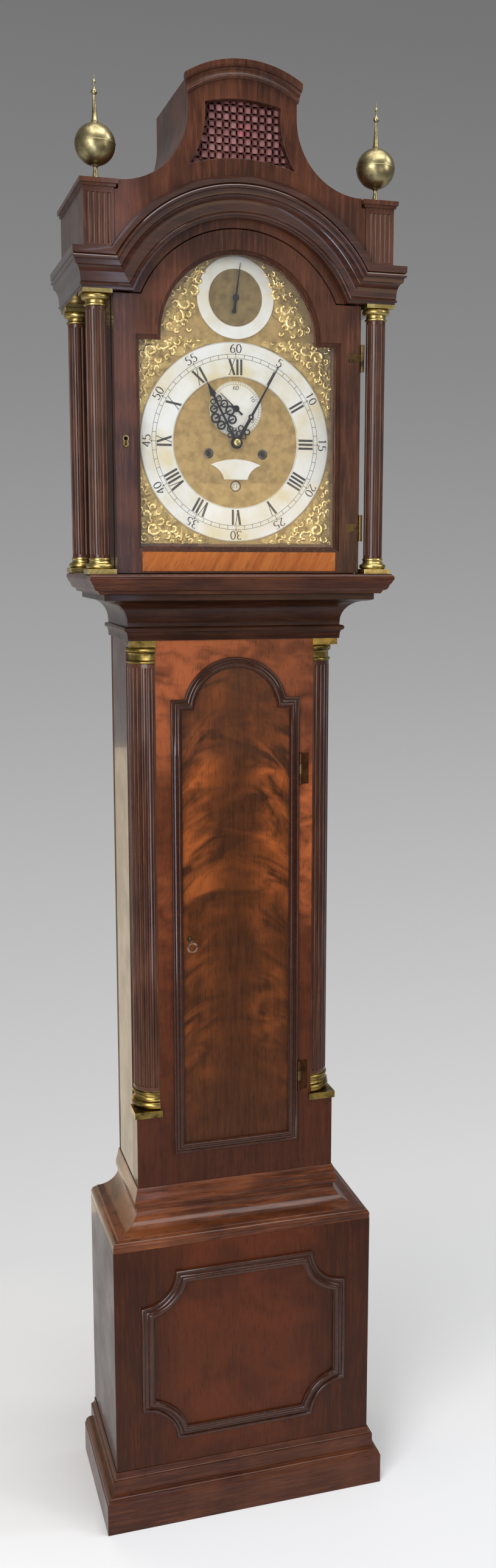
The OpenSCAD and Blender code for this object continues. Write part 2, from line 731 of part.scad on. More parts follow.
module hood_column_brasses() color(brass) from_wall() on_hood_columns() {
    r = column_r;
    w = cap_half_w;
    translate([-w, -w, seat_top]) cube([2 * w, 2 * w, 7]);
    translate([0, 0, seat_top + 7]) rotate_extrude() polygon(concat([[0, 0]],
        arc([r + 2, 4], 4, -80, 80, 7), [[r + 1, 8.4]], arc([r + 3.4, 11.5], 3, 240, 130, 4),
        [[r + 1.5, 14.4], [r + 1, foot_h - 7], [0, foot_h - 7]]));
    translate([0, 0, column_top]) rotate_extrude() polygon(concat([[0, 0], [r + 0.4, 0]],
        arc([r + 0.4, 1.8], 1.8, -80, 80, 5), [[r, 4.2], [r, 8], [r + 1.6, 8.6]],
        arc([r + 1.4, 13], 4.6, -70, 50, 6), [[0, 17]]));
    translate([-w, -w, column_top + 17]) cube([2 * w, 2 * w, cap_h - 17 - eps]);
}

// Profile of the cornice: projection from the frieze and height, drawn from the foot upwards
function cornice_profile(inner) = let (p = cornice_step, h = cornice_h) concat(
    [[-inner, 0], [0, 0], [0, 3]], arc([0.6, 5.2], 2.4, -60, 80, 5), [[1.6, 8.6], [1.8, 11]],
    [for (i = [1:8]) let (a = 10 * i) [1.8 + 7.2 * (1 - cos(a)), 11 + 19 * sin(a)]],
    [[p - 4.4, 30.5], [p - 3.6, 34]], [[p - 3.4, 37]], arc([p - 3, 40], 3, -60, 90, 4),
    [[p - 0.4, 44.4], [p, 47], [p, h], [-inner, h]]);

// Half width at which the straight cornice meets its arch, at a height above the cornice foot
function mitre_x(t) = sqrt(pow(arch_r + t, 2) - pow(arch_drop + t, 2));

// Outline inside the mitres of the arch, drawn in X and Z
module arch_wedge() polygon(concat(
    [for (k = [0:4]) [mitre_x(k * cornice_h / 4), cornice_z + k * cornice_h / 4]],
    [[mitre_x(cornice_h) + 9, cornice_top + 15], [mitre_x(cornice_h) + 9, big * 4],
    [-mitre_x(cornice_h) - 9, big * 4], [-mitre_x(cornice_h) - 9, cornice_top + 15]],
    [for (k = [4:-1:0]) [-mitre_x(k * cornice_h / 4), cornice_z + k * cornice_h / 4]]));

module hood_cornice() color(mahogany) from_wall() {
    inner = pediment_t;
    back = frieze_d - inner;
    difference() {
        translate([0, 0, cornice_z]) mitred_run(cornice_profile(inner), frieze_half_w, frieze_d);
        upright(back - 1, frieze_d + 40) {
            arch_wedge();
            translate([-mitre_x(0), cornice_z - 1]) square([2 * mitre_x(0), 20]);
        }
    }
    intersection() {
        translate([0, 0, arch_z]) rotate([90, 0, 0]) rotate_extrude($fn = 128)
            polygon([for (q = cornice_profile(inner)) [arch_r + q[1], frieze_d + q[0]]]);
        upright(back - 1, frieze_d + 40) arch_wedge();
    }
    // A block across each mitre, and the solid entablature over the columns
    for (s = [0, 1]) mirror([s, 0, 0]) {
        mid = cornice_h / 2;
        board(mitre_x(mid) - 6, mitre_x(mid) + 6, back + 1, frieze_d - 1, cornice_z + mid - 10,
            cornice_z + mid + 10);
        board(pediment_half_w, frieze_half_w - 1, 0, frieze_d - 1, cornice_z, cornice_top);
    }
}

// Outline of the pediment, drawn in by an inset
module pediment_outline(inset) difference() {
    union() {
        translate([-pediment_half_w + inset, cornice_z])
            square([2 * (pediment_half_w - inset), pedestal_top - cornice_z - 11.6]);
        translate([-hollow_x + inset, cornice_z]) square([2 * (hollow_x - inset), hollow_z - cornice_z]);
        intersection() {
            translate([-neck_half_w + inset, cornice_z]) square([2 * (neck_half_w - inset), big]);
            translate([0, crest_z]) circle(r = crest_r - 3 - inset, $fn = 128);
        }
    }
    for (s = [-1, 1]) translate([s * hollow_x, hollow_z]) circle(r = hollow_r + inset, $fn = 96);
}

// Outline of the pierced opening in the pediment, drawn in by an inset
module fret_outline(inset) difference() {
    intersection() {
        translate([-big, arch_z]) square([2 * big, 2 * big]);
        translate([0, crest_z - 104]) circle(r = 215 - inset, $fn = 128);
        translate([-neck_half_w - 2, arch_z]) square([2 * neck_half_w + 4, big]);
    }
    translate([0, arch_z]) circle(r = arch_r + cornice_h + 26 + inset, $fn = 128);
    for (s = [-1, 1]) {
        translate([s * hollow_x, hollow_z]) circle(r = hollow_r + fret_frame_w + inset, $fn = 96);
        translate([s > 0 ? neck_half_w - fret_frame_w + 1 - inset : -hollow_x - 1, hollow_z])
            square([hollow_x - neck_half_w + fret_frame_w + inset, 100]);
    }
}

module pediment() color(mahogany) from_wall() {
    upright(frieze_d - pediment_t, frieze_d) difference() {
        pediment_outline(0);
        translate([0, arch_z]) circle(r = arch_r + cornice_h, $fn = 128);
        translate([-big, 0]) square([2 * big, cornice_top]);
        fret_outline(0);
    }
    p = crest_step;
    h = crest_mould_h;
    over = 6;
    intersection() {
        translate([0, 0, crest_z]) rotate([90, 0, 0]) rotate_extrude($fn = 128) polygon(concat(
            [[crest_r - h, frieze_d], [crest_r - h, frieze_d + 2]],
            arc([crest_r - h + 3, frieze_d + 2], 3, 90, 30, 3),
            [for (i = [1:6]) let (a = 15 * i) [crest_r - h + 6 + 9 * sin(a),
                frieze_d + 2.5 + (p - 4) * (1 - cos(a))]],
            [[crest_r - 7, frieze_d + p], [crest_r, frieze_d + p], [crest_r, frieze_d]]));
        upright(frieze_d - 1, frieze_d + p + 1) polygon([
            [-neck_half_w, crest_z], [-neck_half_w - 1, crest_z + 110],
            [-neck_half_w - over, crest_z + 130], [-neck_half_w - over, crest_z + 200],
            [neck_half_w + over, crest_z + 200], [neck_half_w + over, crest_z + 130],
            [neck_half_w + 1, crest_z + 110], [neck_half_w, crest_z]]);
    }
    // Capping board behind the moulding, over the roof
    upright(frieze_d - pediment_t, frieze_d) intersection() {
        difference() {
            translate([0, crest_z]) circle(r = crest_r, $fn = 128);
            translate([0, crest_z]) circle(r = crest_r - 3, $fn = 128);
        }
        translate([-neck_half_w - 3, crest_z + 100]) square([2 * neck_half_w + 6, 100]);
    }
}

module hood_roof() color(mahogany) from_wall() {
    t = 8;
    upright(0, frieze_d - pediment_t) difference() {
        pediment_outline(0);
        pediment_outline(t);
    }
}

// Fret: bars and rings of a traditional pattern, kept inside the opening
module fret_panel() color(mahogany) from_wall() upright(frieze_d - pediment_t - 4,
    frieze_d - pediment_t) intersection() {
    fret_outline(-5);
    f = neck_half_w / 80;
    z0 = crest_z + 22;
    union() {
        difference() {
            fret_outline(-5);
            fret_outline(2.5);
        }
        for (x = [-26, -8, 8, 26]) translate([f * x - 1.5, z0 - 30]) square([3, 150]);
        for (k = [0:4]) translate([-neck_half_w, z0 + f * (4 + 18 * k)]) square([2 * neck_half_w, 3]);
        for (s = [-1, 1], k = [0:2]) translate([s * f * 41, z0 + f * (14 + 29 * k)]) difference() {
            circle(r = 12 * f);
            circle(r = 9 * f);
        }
        for (s = [-1, 1], k = [0:2]) translate([s * f * 57, z0 + f * (2 + 26 * k)]) difference() {
            circle(r = 9 * f);
            circle(r = 6 * f);
        }
    }
}

module fret_silk() color(silk) from_wall() upright(frieze_d - pediment_t - 4.8,
    frieze_d - pediment_t - 4) fret_outline(-5);

module finial_pedestals() color(mahogany) from_wall() for (s = [0, 1]) mirror([s, 0, 0]) {
    w = pedestal_half_w;
    front = pedestal_front;
    difference() {
        board(pedestal_x - w, pedestal_x + w, 0, front, cornice_top, pedestal_top - 10.5);
        for (i = [-2:2]) translate([pedestal_x + i * w / 3, -front - 0.6, cornice_top + 6])
            cylinder(r = 2.6, h = pedestal_h - 24, $fn = 24);
        // Scribed over the arch of the cornice
        upright(frieze_d - pediment_t - 0.2, front + 1) translate([0, arch_z])
            circle(r = arch_r + cornice_h + 0.2, $fn = 128);
    }
    board(pedestal_x - w - 2.5, pedestal_x + w + 2.5, 0, front + 2.5, pedestal_top - 10.5,
        pedestal_top - 6.5);
    board(pedestal_x - w - 5.3, pedestal_x + w + 5.3, 0, front + 5.3, pedestal_top - 6.5, pedestal_top);
}

module finials() color(old_brass) from_wall() for (x = [-pedestal_x, pedestal_x])
    translate([x, -(pedestal_front - pedestal_half_w), pedestal_top]) rotate_extrude() let (
        r = ball_r, stem = 22.5, c = stem + r - 1.6) polygon(concat(
        [[0, 0], [8, 0], [8, 2]], arc([10, 8], 6.2, 250, 170, 5), [[3, 14], [3.4, stem - 3]],
        [[6, stem - 1.4], [6, stem]], arc([0, c], r, -77, -3, 14), [[r + 0.6, c - 1], [r + 0.6, c + 1]],
        arc([0, c], r, 3, 76, 14), [[6.4, c + r], [3, c + r + 3]],
        arc([0, c + r + 7], 4.4, -45, 45, 4), [[2, c + r + 12], [1.8, finial_h - 26]],
        arc([0, finial_h - 22], 3.2, -50, 55, 4), [[1.3, finial_h - 17], [0, finial_h]]));

module hood_hinges() color(old_brass) from_wall() for (z = hhinge_zs) {
    third = hhinge_len / 3;
    translate([hhinge_x, -hhinge_y, z - hhinge_len / 2]) {
        cylinder(r = hinge_pin_r, h = hhinge_len);
        for (k = [0, 2 * third]) translate([0, 0, k]) cylinder(r = knuckle_r, h = third - slide_gap);
    }
    board(hood_half_w, hood_half_w + leaf_t, mask_front - 26, hhinge_y - knuckle_r - 1,
        z - hhinge_len / 2, z + hhinge_len / 2);
    for (k = [-hhinge_len / 2, hhinge_len / 6]) board(hood_half_w, hood_half_w + leaf_t,
        hhinge_y - knuckle_r - 1 - eps, hhinge_y, z + k, z + k + third - slide_gap);
}

// Outline of the opening in the hood door, drawn in by an inset
module hdoor_opening(inset) break_arch(dial_half_w + 3.6 - inset, dial_foot - 7.5 + inset,
    dial_shoulder - 5.3 - inset, dial_arch_r + 1 - inset, dial_arch_z);

module hdoor_frame(inset) difference() {
    break_arch(hdoor_half_w, hdoor_z, hdoor_shoulder, hdoor_arch_r, arch_z);
    hdoor_opening(inset);
}

module hood_door() color(mahogany) from_wall() difference() {
    union() {
        upright(hdoor_front - 3, hdoor_front) hdoor_frame(0);
        upright(hdoor_front - 5, hdoor_front - 3) hdoor_frame(1.6);
        upright(hdoor_front - 7.5, hdoor_front - 5) hdoor_frame(3.6);
        upright(hdoor_front - 10, hdoor_front - 7.5) hdoor_frame(6);
        upright(hdoor_back, hdoor_front - 10) hdoor_frame(2.6);
    }
    for (z = hhinge_zs) translate([hhinge_x, -hhinge_y, z - hhinge_len / 2 - slide_gap])
        cylinder(r = knuckle_r + slide_gap, h = hhinge_len + 2 * slide_gap);
    for (z = hhinge_zs) board(hdoor_half_w - 20, hdoor_half_w + 1, hdoor_front - leaf_t,
        hdoor_front + 1, z - hhinge_len / 6, z + hhinge_len / 6);
    bar_y(-hdoor_half_w + 15, dial_z, 2.2, hdoor_back - 1, hdoor_front + 1);
}

module hood_door_glass() color(silver, 0.3) from_wall()
    upright(hdoor_front - 12, hdoor_front - 10) hdoor_opening(3);

module hood_door_fittings() color(old_brass) from_wall() {
    third = hhinge_len / 3;
    for (z = hhinge_zs) difference() {
        union() {
            translate([hhinge_x, -hhinge_y, z - third / 2]) cylinder(r = knuckle_r, h = third - slide_gap);
            board(hdoor_half_w - 20, hhinge_x, hdoor_front - leaf_t, hdoor_front, z - third / 2,
                z + third / 2 - slide_gap);
        }
        translate([hhinge_x, -hhinge_y, z - third]) cylinder(r = hinge_pin_r + pin_gap, h = 2 * third);
    }
    // Rim lock behind the stile and the plate around its keyhole
    difference() {
        union() {
            board(-hdoor_half_w + 6, -hdoor_half_w + 26, hdoor_back - 0.7, hdoor_back, dial_z - 22,
                dial_z + 22);
            upright(hdoor_front, hdoor_front + 0.8) translate([-hdoor_half_w + 15, dial_z]) {
                circle(r = 4.6);
                translate([-3.4, -9]) square([6.8, 9]);
                translate([0, -9]) circle(r = 4);
            }
        }
        bar_y(-hdoor_half_w + 15, dial_z, 2.2, hdoor_back - 2, hdoor_front + 2);
    }
}

module dial_plate() color(brass) from_wall() {
    difference() {
        union() {
            upright(dial_y - dial_t, dial_y) dial_outline(0);
            for (x = [-winding_x, winding_x]) bar_y(x, winding_z, 7.4, dial_y, dial_y + 0.6);
        }
        bar_y(0, dial_z, 5.6, 0, big);
        bar_y(0, escape_z, 3, 0, big);
        bar_y(0, dial_z - date_drop, 6.5, 0, big);
        bar_y(0, silent_z, 1.5 + pin_gap, 0, big);
        for (x = [-winding_x, winding_x]) bar_y(x, winding_z, 4.4, 0, big);
    }
    for (x = [-70, 70], z = [-60, 60]) bar_y(x, dial_z + z, 3, front_plate_front, dial_y - dial_t);
}

// Flat ring lying on the dial
module flat_ring(z, outer, inner, y0, y1) upright(y0, y1) translate([0, z]) difference() {
    circle(r = outer, $fn = 128);
    circle(r = inner, $fn = 128);
}

module chapter_ring() color(silver) from_wall()
    flat_ring(dial_z, chapter_r, chapter_inner_r, dial_y, dial_y + ring_t);

module strike_silent_ring() color(silver) from_wall()
    flat_ring(silent_z, silent_r, silent_inner_r, dial_y, dial_y + ring_t);

// The seconds plate, and a bare plaque with an arched top and hollow sides
module dial_centre_plates() color(silver) from_wall() {
    flat_ring(escape_z, seconds_r, 3, dial_y, dial_y + 1.5);
    w = plaque_half_w;
    upright(dial_y, dial_y + 1.5) translate([0, dial_z - plaque_drop]) difference() {
        intersection() {
            translate([0, -2.33 * w]) circle(r = 2.33 * w, $fn = 128);
            translate([-w, -0.75 * w]) square([2 * w, 0.75 * w]);
        }
        for (s = [-1, 1]) translate([s * 1.14 * w, -0.9 * w]) circle(r = 0.7 * w, $fn = 64);
    }
}

// Scrolled corner ornament between the chapter ring and the corner of the dial
module corner_scrolls() difference() {
    f = dial_half_w / 152.4;
    scale([f, f]) intersection() {
        union() {
            translate([123, 123]) circle(r = 22);
            for (p = [[135, 88, 13], [88, 135, 13], [140, 62, 9], [62, 140, 9], [143, 45, 6], [45, 143, 6]])
                translate([p[0], p[1]]) circle(r = p[2]);
            translate([110, 104]) circle(r = 13);
            translate([104, 110]) circle(r = 13);
            translate([136, 45]) square([13, 90]);
            translate([45, 136]) square([90, 13]);
        }
        translate([37, 37]) square([113, 113]);
    }
    circle(r = chapter_r + 1.5, $fn = 128);
    for (p = [[134, 96, 4], [96, 134, 4], [141, 68, 3], [68, 141, 3], [126, 112, 3], [112, 126, 3],
        [143, 143, 3]]) translate([f * p[0], f * p[1]]) circle(r = f * p[2], $fn = 20);
}

module spandrels() color(brass) from_wall() upright(dial_y, dial_y + 2) {
    for (a = [0:90:270]) translate([0, dial_z]) rotate(a) corner_scrolls();
    for (s = [0, 1]) mirror([s, 0]) difference() {
        f = dial_arch_r / 123;
        intersection() {
            for (p = [[72, 50, 17], [90, 31, 16], [97, 20, 13], [66, 74, 13], [58, 86, 11], [50, 96, 7]])
                translate([f * p[0], dial_arch_z + f * p[1]]) circle(r = f * p[2]);
            translate([0, dial_arch_z + 10]) square([dial_arch_r, dial_arch_r]);
            translate([0, dial_arch_z]) circle(r = dial_arch_r - 6, $fn = 128);
        }
        translate([0, silent_z]) circle(r = silent_r + 2, $fn = 128);
        for (p = [[78, 58], [88, 40], [98, 24], [84, 24]])
            translate([f * p[0], dial_arch_z + f * p[1]]) circle(r = 3, $fn = 20);
    }
}

module calendar_ring() color(silver) from_wall()
    flat_ring(dial_z, date_drop + 10.5, date_drop - 9.5, dial_y - dial_t - 2, dial_y - dial_t - 0.3);

// Small pierced ring of a hand, on both sides of it
module hand_ring(x, z, r) for (s = [-1, 1]) translate([s * x, z]) difference() {
    circle(r = r, $fn = 32);
    circle(r = r * 0.62, $fn = 32);
}

module minute_hand() color(steel) from_wall() {
    l = minute_len;
    difference() {
        union() {
            upright(minute_y, minute_y + hand_t) translate([0, dial_z]) rotate(-minute_at) difference() {
                union() {
                    circle(r = 7);
                    hand_ring(4.6, 12.5, 4);
                    hand_ring(5.6, 21, 4.6);
                    polygon([[-2.6, 5], [2.6, 5], [2.2, l / 3], [-2.2, l / 3]]);
                    translate([0, l / 3]) circle(r = 4.3);
                    polygon([[-2, l / 3], [2, l / 3], [0.6, l], [-0.6, l]]);
                }
                translate([0, l / 3]) circle(r = 1.6, $fn = 24);
            }
            bar_y(0, dial_z, 4.4, minute_y + hand_t, minute_y + hand_t + 1.4);
        }
        bar_y(0, dial_z, arbor_r + pin_gap, minute_y - 1, minute_y + 5);
    }
}

module hour_hand() color(steel) from_wall() upright(hour_y, hour_y + hand_t)
    translate([0, dial_z]) rotate(-hour_at) difference() {
        union() {
            circle(r = 9);
            hand_ring(4.6, 14, 4);
            hand_ring(0, 22, 5);
            hand_ring(9.6, 33, 7);
            hand_ring(12.5, 46, 7.6);
            hand_ring(9, 58.6, 6);
            hand_ring(5, 68.6, 4.4);
            translate([-1.6, 7]) square([3.2, 76]);
            translate([-12, 31.8]) square([24, 2.2]);
            translate([-14, 44.8]) square([28, 2.2]);
            translate([-10, 57.6]) square([20, 2]);
            polygon([[-5, 78], [0, 73], [5, 78], [2.6, 86], [0, hour_len], [-2.6, 86]]);
        }
        circle(r = 5 + pin_gap);
    }

module seconds_hand() color(steel) from_wall() {
    l = seconds_len;
    upright(dial_y + 3.5, dial_y + 4.5) translate([0, escape_z]) rotate(-seconds_at) {
        circle(r = 4);
        polygon([[-1, 0], [1, 0], [0.4, l], [-0.4, l]]);
        polygon([[-1.6, -13], [1.6, -13], [0.8, 1], [-0.8, 1]]);
    }
}

module strike_silent_hand() color(steel) from_wall() {
    upright(dial_y + 3.5, dial_y + 4.5) translate([0, silent_z]) rotate(-silent_at) {
        circle(r = 5);
        polygon([[-1.6, 0], [1.6, 0], [0.4, 50], [-0.4, 50]]);
        polygon([[-2.4, -20], [2.4, -20], [1.4, 1], [-1.4, 1]]);
        translate([0, -20]) circle(r = 3.4, $fn = 32);
    }
    bar_y(0, silent_z, 1.5, dial_y - 8, dial_y + 5.5);
    bar_y(0, silent_z, 3, dial_y + 4.5, dial_y + 5.6);
}

module movement_frame() color(brass) from_wall() {
    hole = arbor_r + pin_gap;
    top = seatboard_top + plate_h;
    difference() {
        for (y = [plate_back_y, front_plate_back])
            board(-plate_half_w, plate_half_w, y, y + plate_t, seatboard_top, top);
        for (p = [[0, dial_z], [third_side, dial_z + third_up], [0, escape_z], [-winding_x, pin_wheel_z],
            [hammer_x, hammer_z], [0, pallet_z]]) bar_y(p[0], p[1], hole, 0, big);
        bar_y(0, pallet_z, 4, 0, back_plate_front + 1);
        for (x = [-winding_x, winding_x]) bar_y(x, winding_z, 3.2 + pin_gap, 0, big);
        bar_y(0, dial_z - minute_dist, 1.1 + pin_gap, front_plate_back - 1, big);
        translate([0, 0, seatboard_top]) cube([70, 4 * big, 24], center = true);
    }
    for (x = [-plate_half_w + 12, plate_half_w - 12], z = [seatboard_top + 13, top - 12])
        bar_y(x, z, 4.5, plate_back_y + 1, front_plate_front - 1);
    // Cock that carries the minute wheel
    z = dial_z - minute_dist;
    board(-4, 4, front_plate_front, front_plate_front + 16, z - 20, z - 14.4);
    difference() {
        board(-4, 4, front_plate_front + 13.6, front_plate_front + 16, z - 20, z + 4);
        bar_y(0, z, 1.1 + pin_gap, front_plate_front, big);
    }
    // Back cock that carries the pallets and the pendulum
    difference() {
        union() {
            board(-30, 30, plate_back_y - 15, plate_back_y - 9, pallet_z - 6, pallet_z + 12);
            board(-8, 8, pendulum_y - 10, plate_back_y - 9, pallet_z - 6, pallet_z + 12);
            for (s = [0, 1]) mirror([s, 0, 0])
                board(24, 30, plate_back_y - 9, plate_back_y, pallet_z - 6, pallet_z + 12);
        }
        board(-1.3, 1.3, pendulum_y - 5, pendulum_y + 5, pallet_z - 7, pallet_z + 13);
        bar_y(0, pallet_z, hole, pendulum_y, big);
    }
    // Bell stand
    arm_z = bell_z + 37;
    board(56, 66, plate_back_y - 4, plate_back_y, top - 30, arm_z + 4);
    translate([61, 2 - plate_back_y, arm_z]) rotate(180 + atan2(bell_y - plate_back_y + 2, 61))
        translate([-4, -5, 0]) cube([norm([61, bell_y - plate_back_y + 2]) + 9, 10, 4]);
    translate([0, -bell_y, bell_z + 28]) cylinder(r = 2, h = 10);
}

// A barrel: its side, teeth and module. The great wheel, drum and winding square turn together.
module barrel(x, n, m, turn) {
    translate([x, -great_y, winding_z]) rotate([90, 0, 0]) linear_extrude(3) difference() {
        rotate(turn) polygon(toothed(n, m, 0.7));
        for (i = [0:5]) rotate(60 * i) translate([m * n / 2 - 9, 0]) circle(r = 4, $fn = 32);
    }
    translate([x, -drum_back, winding_z]) rotate([90, 0, 0]) rotate_extrude() polygon(concat(
        [[0, 0], [drum_r + 1.6, 0], [drum_r + 1.6, 1.5]],
        [for (i = [0:8]) each [[drum_r, 3 + 3.4 * i], [drum_r - 0.7, 4.7 + 3.4 * i]]],
        [[drum_r, drum_front - drum_back - 2], [drum_r + 1.6, drum_front - drum_back - 1.5],
        [drum_r + 1.6, drum_front - drum_back], [0, drum_front - drum_back]]));
    bar_y(x, winding_z, 3.2, plate_back_y + 0.5, dial_y - 12);
    board(x - 2.4, x + 2.4, dial_y - 12 - eps, dial_y - 1, winding_z - 2.4, winding_z + 2.4);
}

module going_barrel() color(brass) from_wall() barrel(winding_x, great_teeth, great_m, 0);

module centre_arbor() color(brass) from_wall() {
    to_barrel = atan2(-winding_drop, winding_x);
    to_third = atan2(third_up, third_side);
    bar_y(0, dial_z, arbor_r, plate_back_y + 0.5, minute_y + 5);
    wheel_at(0, dial_z, great_y - 3, pinion_leaves, great_m, 0.7, 9,
        mesh_turn(to_barrel, great_teeth, pinion_leaves));
    wheel_at(0, dial_z, back_plate_front + 4, centre_teeth, third_m, 0.7, 2, to_third);
    wheel_at(0, dial_z, front_plate_front + 2, cannon_teeth, cannon_m, 0.7, 2, -90);
    bar_y(0, dial_z, 3, front_plate_front + 2, minute_y);
    translate([-4.6, -minute_y - 4.2, dial_z - 0.45]) cube([9.2, 0.9, 0.9]);
}

// Turn that sets a pinion into the wheel that lies in a direction, whose tooth is at a known angle
function mesh_turn(to_wheel, wheel_teeth, leaves) = let (
    seen = to_wheel + 180,
    pitch = 360 / wheel_teeth,
    off = seen - pitch * round(seen / pitch)
) to_wheel + 180 / leaves + off * wheel_teeth / leaves;

module third_arbor() color(brass) from_wall() {
    x = third_side;
    z = dial_z + third_up;
    to_escape = atan2(escape_z - z, -x);
    bar_y(x, z, arbor_r, plate_back_y + 0.5, front_plate_front - 0.5);
    wheel_at(x, z, back_plate_front + 4, pinion_leaves, third_m, 0.7, 6,
        atan2(third_up, third_side) + 180 + 180 / pinion_leaves);
    wheel_at(x, z, great_y + 9, third_teeth, escape_m, 0.7, 2, to_escape);
}

module escape_arbor() color(brass) from_wall() {
    r = escape_r;
    to_third = atan2(dial_z + third_up - escape_z, third_side);
    bar_y(0, escape_z, arbor_r, plate_back_y + 0.5, dial_y + 3.5);
    wheel_at(0, escape_z, great_y + 7, escape_leaves, escape_m, 0.7, 6,
        to_third + 180 / escape_leaves);
    upright(great_y + 18, great_y + 20) translate([0, escape_z]) difference() {
        polygon([for (i = [0:29]) for (p = [[-3.6, r - 4.4], [-0.5, r], [0.5, r], [1.8, r - 4.4]])
            p[1] * [cos(90 + 12 * i + p[0]), sin(90 + 12 * i + p[0])]]);
        difference() {
            circle(r = r - 6.6);
            circle(r = 4.4);
            for (i = [0:3]) rotate(90 * i) translate([0, -1.2]) square([r, 2.4]);
        }
    }
}

module pallet_arbor() color(steel) from_wall() {
    bar_y(0, pallet_z, arbor_r, plate_back_y - 12, front_plate_front - 0.5);
    for (s = [0, 1]) mirror([s, 0, 0]) upright(great_y + 17, great_y + 20) translate([0, pallet_z]) {
        polygon([[0, 3.5], [19, -8.5], [17.6, -11.6], [16.4, -10.9], [0, -3.5]]);
        polygon([[17.9, -11.2], [17.1, -10.6], [14.05, -13.55], [14.75, -14.25]]);
    }
    // Crutch and its fork
    board(-2, 2, plate_back_y - 4.5, plate_back_y - 2.5, pallet_z - 119, pallet_z);
    bar_y(0, pallet_z, 3.6, plate_back_y - 5, plate_back_y - 2);
    board(-6.5, 6.5, plate_back_y - 4.5, plate_back_y - 2.5, pallet_z - 122, pallet_z - 117);
    for (x = [-rod_r - slide_gap - 1.5, rod_r + slide_gap + 1.5])
        bar_y(x, pallet_z - 119.5, 1.5, pendulum_y - 6, plate_back_y - 3);
}

module hour_wheel() color(brass) from_wall() difference() {
    union() {
        wheel_at(0, dial_z, front_plate_front + 8, hour_teeth, motion_m, 0.7, 2, -90);
        bar_y(0, dial_z, 5, front_plate_front + 8, hour_y + hand_t);
        bar_y(0, dial_z, 9, front_plate_front + 10, front_plate_front + 12);
    }
    bar_y(0, dial_z, 3 + 3 * pin_gap, front_plate_front, hour_y + 10);
}

module minute_wheel() color(brass) from_wall() {
    z = dial_z - minute_dist;
    wheel_at(0, z, front_plate_front + 2, cannon_teeth, cannon_m, 0.7, 2, 90 + 180 / cannon_teeth);
    wheel_at(0, z, front_plate_front + 4, motion_pinion, motion_m, 0.7, 7, 90 + 180 / motion_pinion);
    bar_y(0, z, 1.1, front_plate_back + 1, front_plate_front + 15.5);
}

module strike_barrel() color(brass) from_wall() barrel(-winding_x, strike_teeth, strike_m, 90);

module pin_wheel() color(brass) from_wall() {
    x = -winding_x;
    z = pin_wheel_z;
    bar_y(x, z, arbor_r, plate_back_y + 0.5, front_plate_front - 0.5);
    wheel_at(x, z, great_y - 1, pinion_leaves, strike_m, 0.7, 6, 270 + 180 / pinion_leaves);
    wheel_at(x, z, great_y - 5, pin_wheel_teeth, 0.7, 0.7, 2, 0);
    for (i = [0:7]) bar_y(x + 16 * cos(45 * i), z + 16 * sin(45 * i), 1, great_y - 10, great_y - 4);
}

module hammer() color(steel) from_wall() {
    x = hammer_x;
    z = hammer_z;
    bar_y(x, z, arbor_r, plate_back_y + 0.5, front_plate_front - 0.5);
    board(x - 1.5, x + 1.5, bell_y - 1.5, bell_y + 1.5, z, z + 34);
    bar_y(x, z, 3.4, bell_y - 4, bell_y + 4);
    translate([x - 11, -bell_y, z + 34]) rotate([0, 90, 0]) cylinder(r = 4.5, h = 14);
    upright(great_y - 9, great_y - 6)
        polygon([[x - 1.5, z], [x + 1.5, z], [x - 2, z - 40], [x - 5, z - 40]]);
    bar_y(x, z, 3.4, great_y - 10, great_y - 5);
}

module bell() color(brass) from_wall() translate([0, -bell_y, bell_z]) difference() {
    rotate_extrude() union() {
        polygon(concat([[bell_r, 0]], [for (i = [0:9]) let (a = 10 * i)
            [(bell_r - 1) * pow(cos(a), 0.8), 3 + 32 * sin(a)]], [[0, 35]],
            [[0, 32.4]], [for (i = [8:-1:0]) let (a = 10 * i)
            [(bell_r - 4) * pow(cos(a), 0.8), 3 + 29.4 * sin(a)]], [[bell_r - 3.5, 0]]));
        translate([0, 27.5]) square([5, 5]);
    }
    translate([0, 0, 20]) cylinder(r = 2 + pin_gap, h = 30);
}

module pendulum() color(steel) from_wall() translate([0, -pendulum_y, pallet_z]) {
    l = pendulum_l;
    r = bob_r;
    dish = bob_t / 2 - 0.8;
    curve = (r * r + dish * dish) / (2 * dish);
    translate([-0.25, -4, -14]) cube([0.5, 8, 28]);
    translate([-4, -6, 12.6]) cube([8, 12, 4]);
    translate([-3.5, -4, -18]) cube([7, 8, 6]);
    translate([0, 0, -l - r - 16]) cylinder(r = rod_r, h = l + r + 3);
    translate([0, 0, -l]) rotate([90, 0, 0]) rotate_extrude($fn = 96) polygon(concat(
        [for (i = [0:8]) let (x = r * i / 8) [x, sqrt(curve * curve - x * x) - curve + bob_t / 2]],
        [for (i = [8:-1:0]) let (x = r * i / 8) [x, curve - bob_t / 2 - sqrt(curve * curve - x * x)]]));
    translate([0, 0, -l - r - 10]) cylinder(r = 7, h = 4);
}

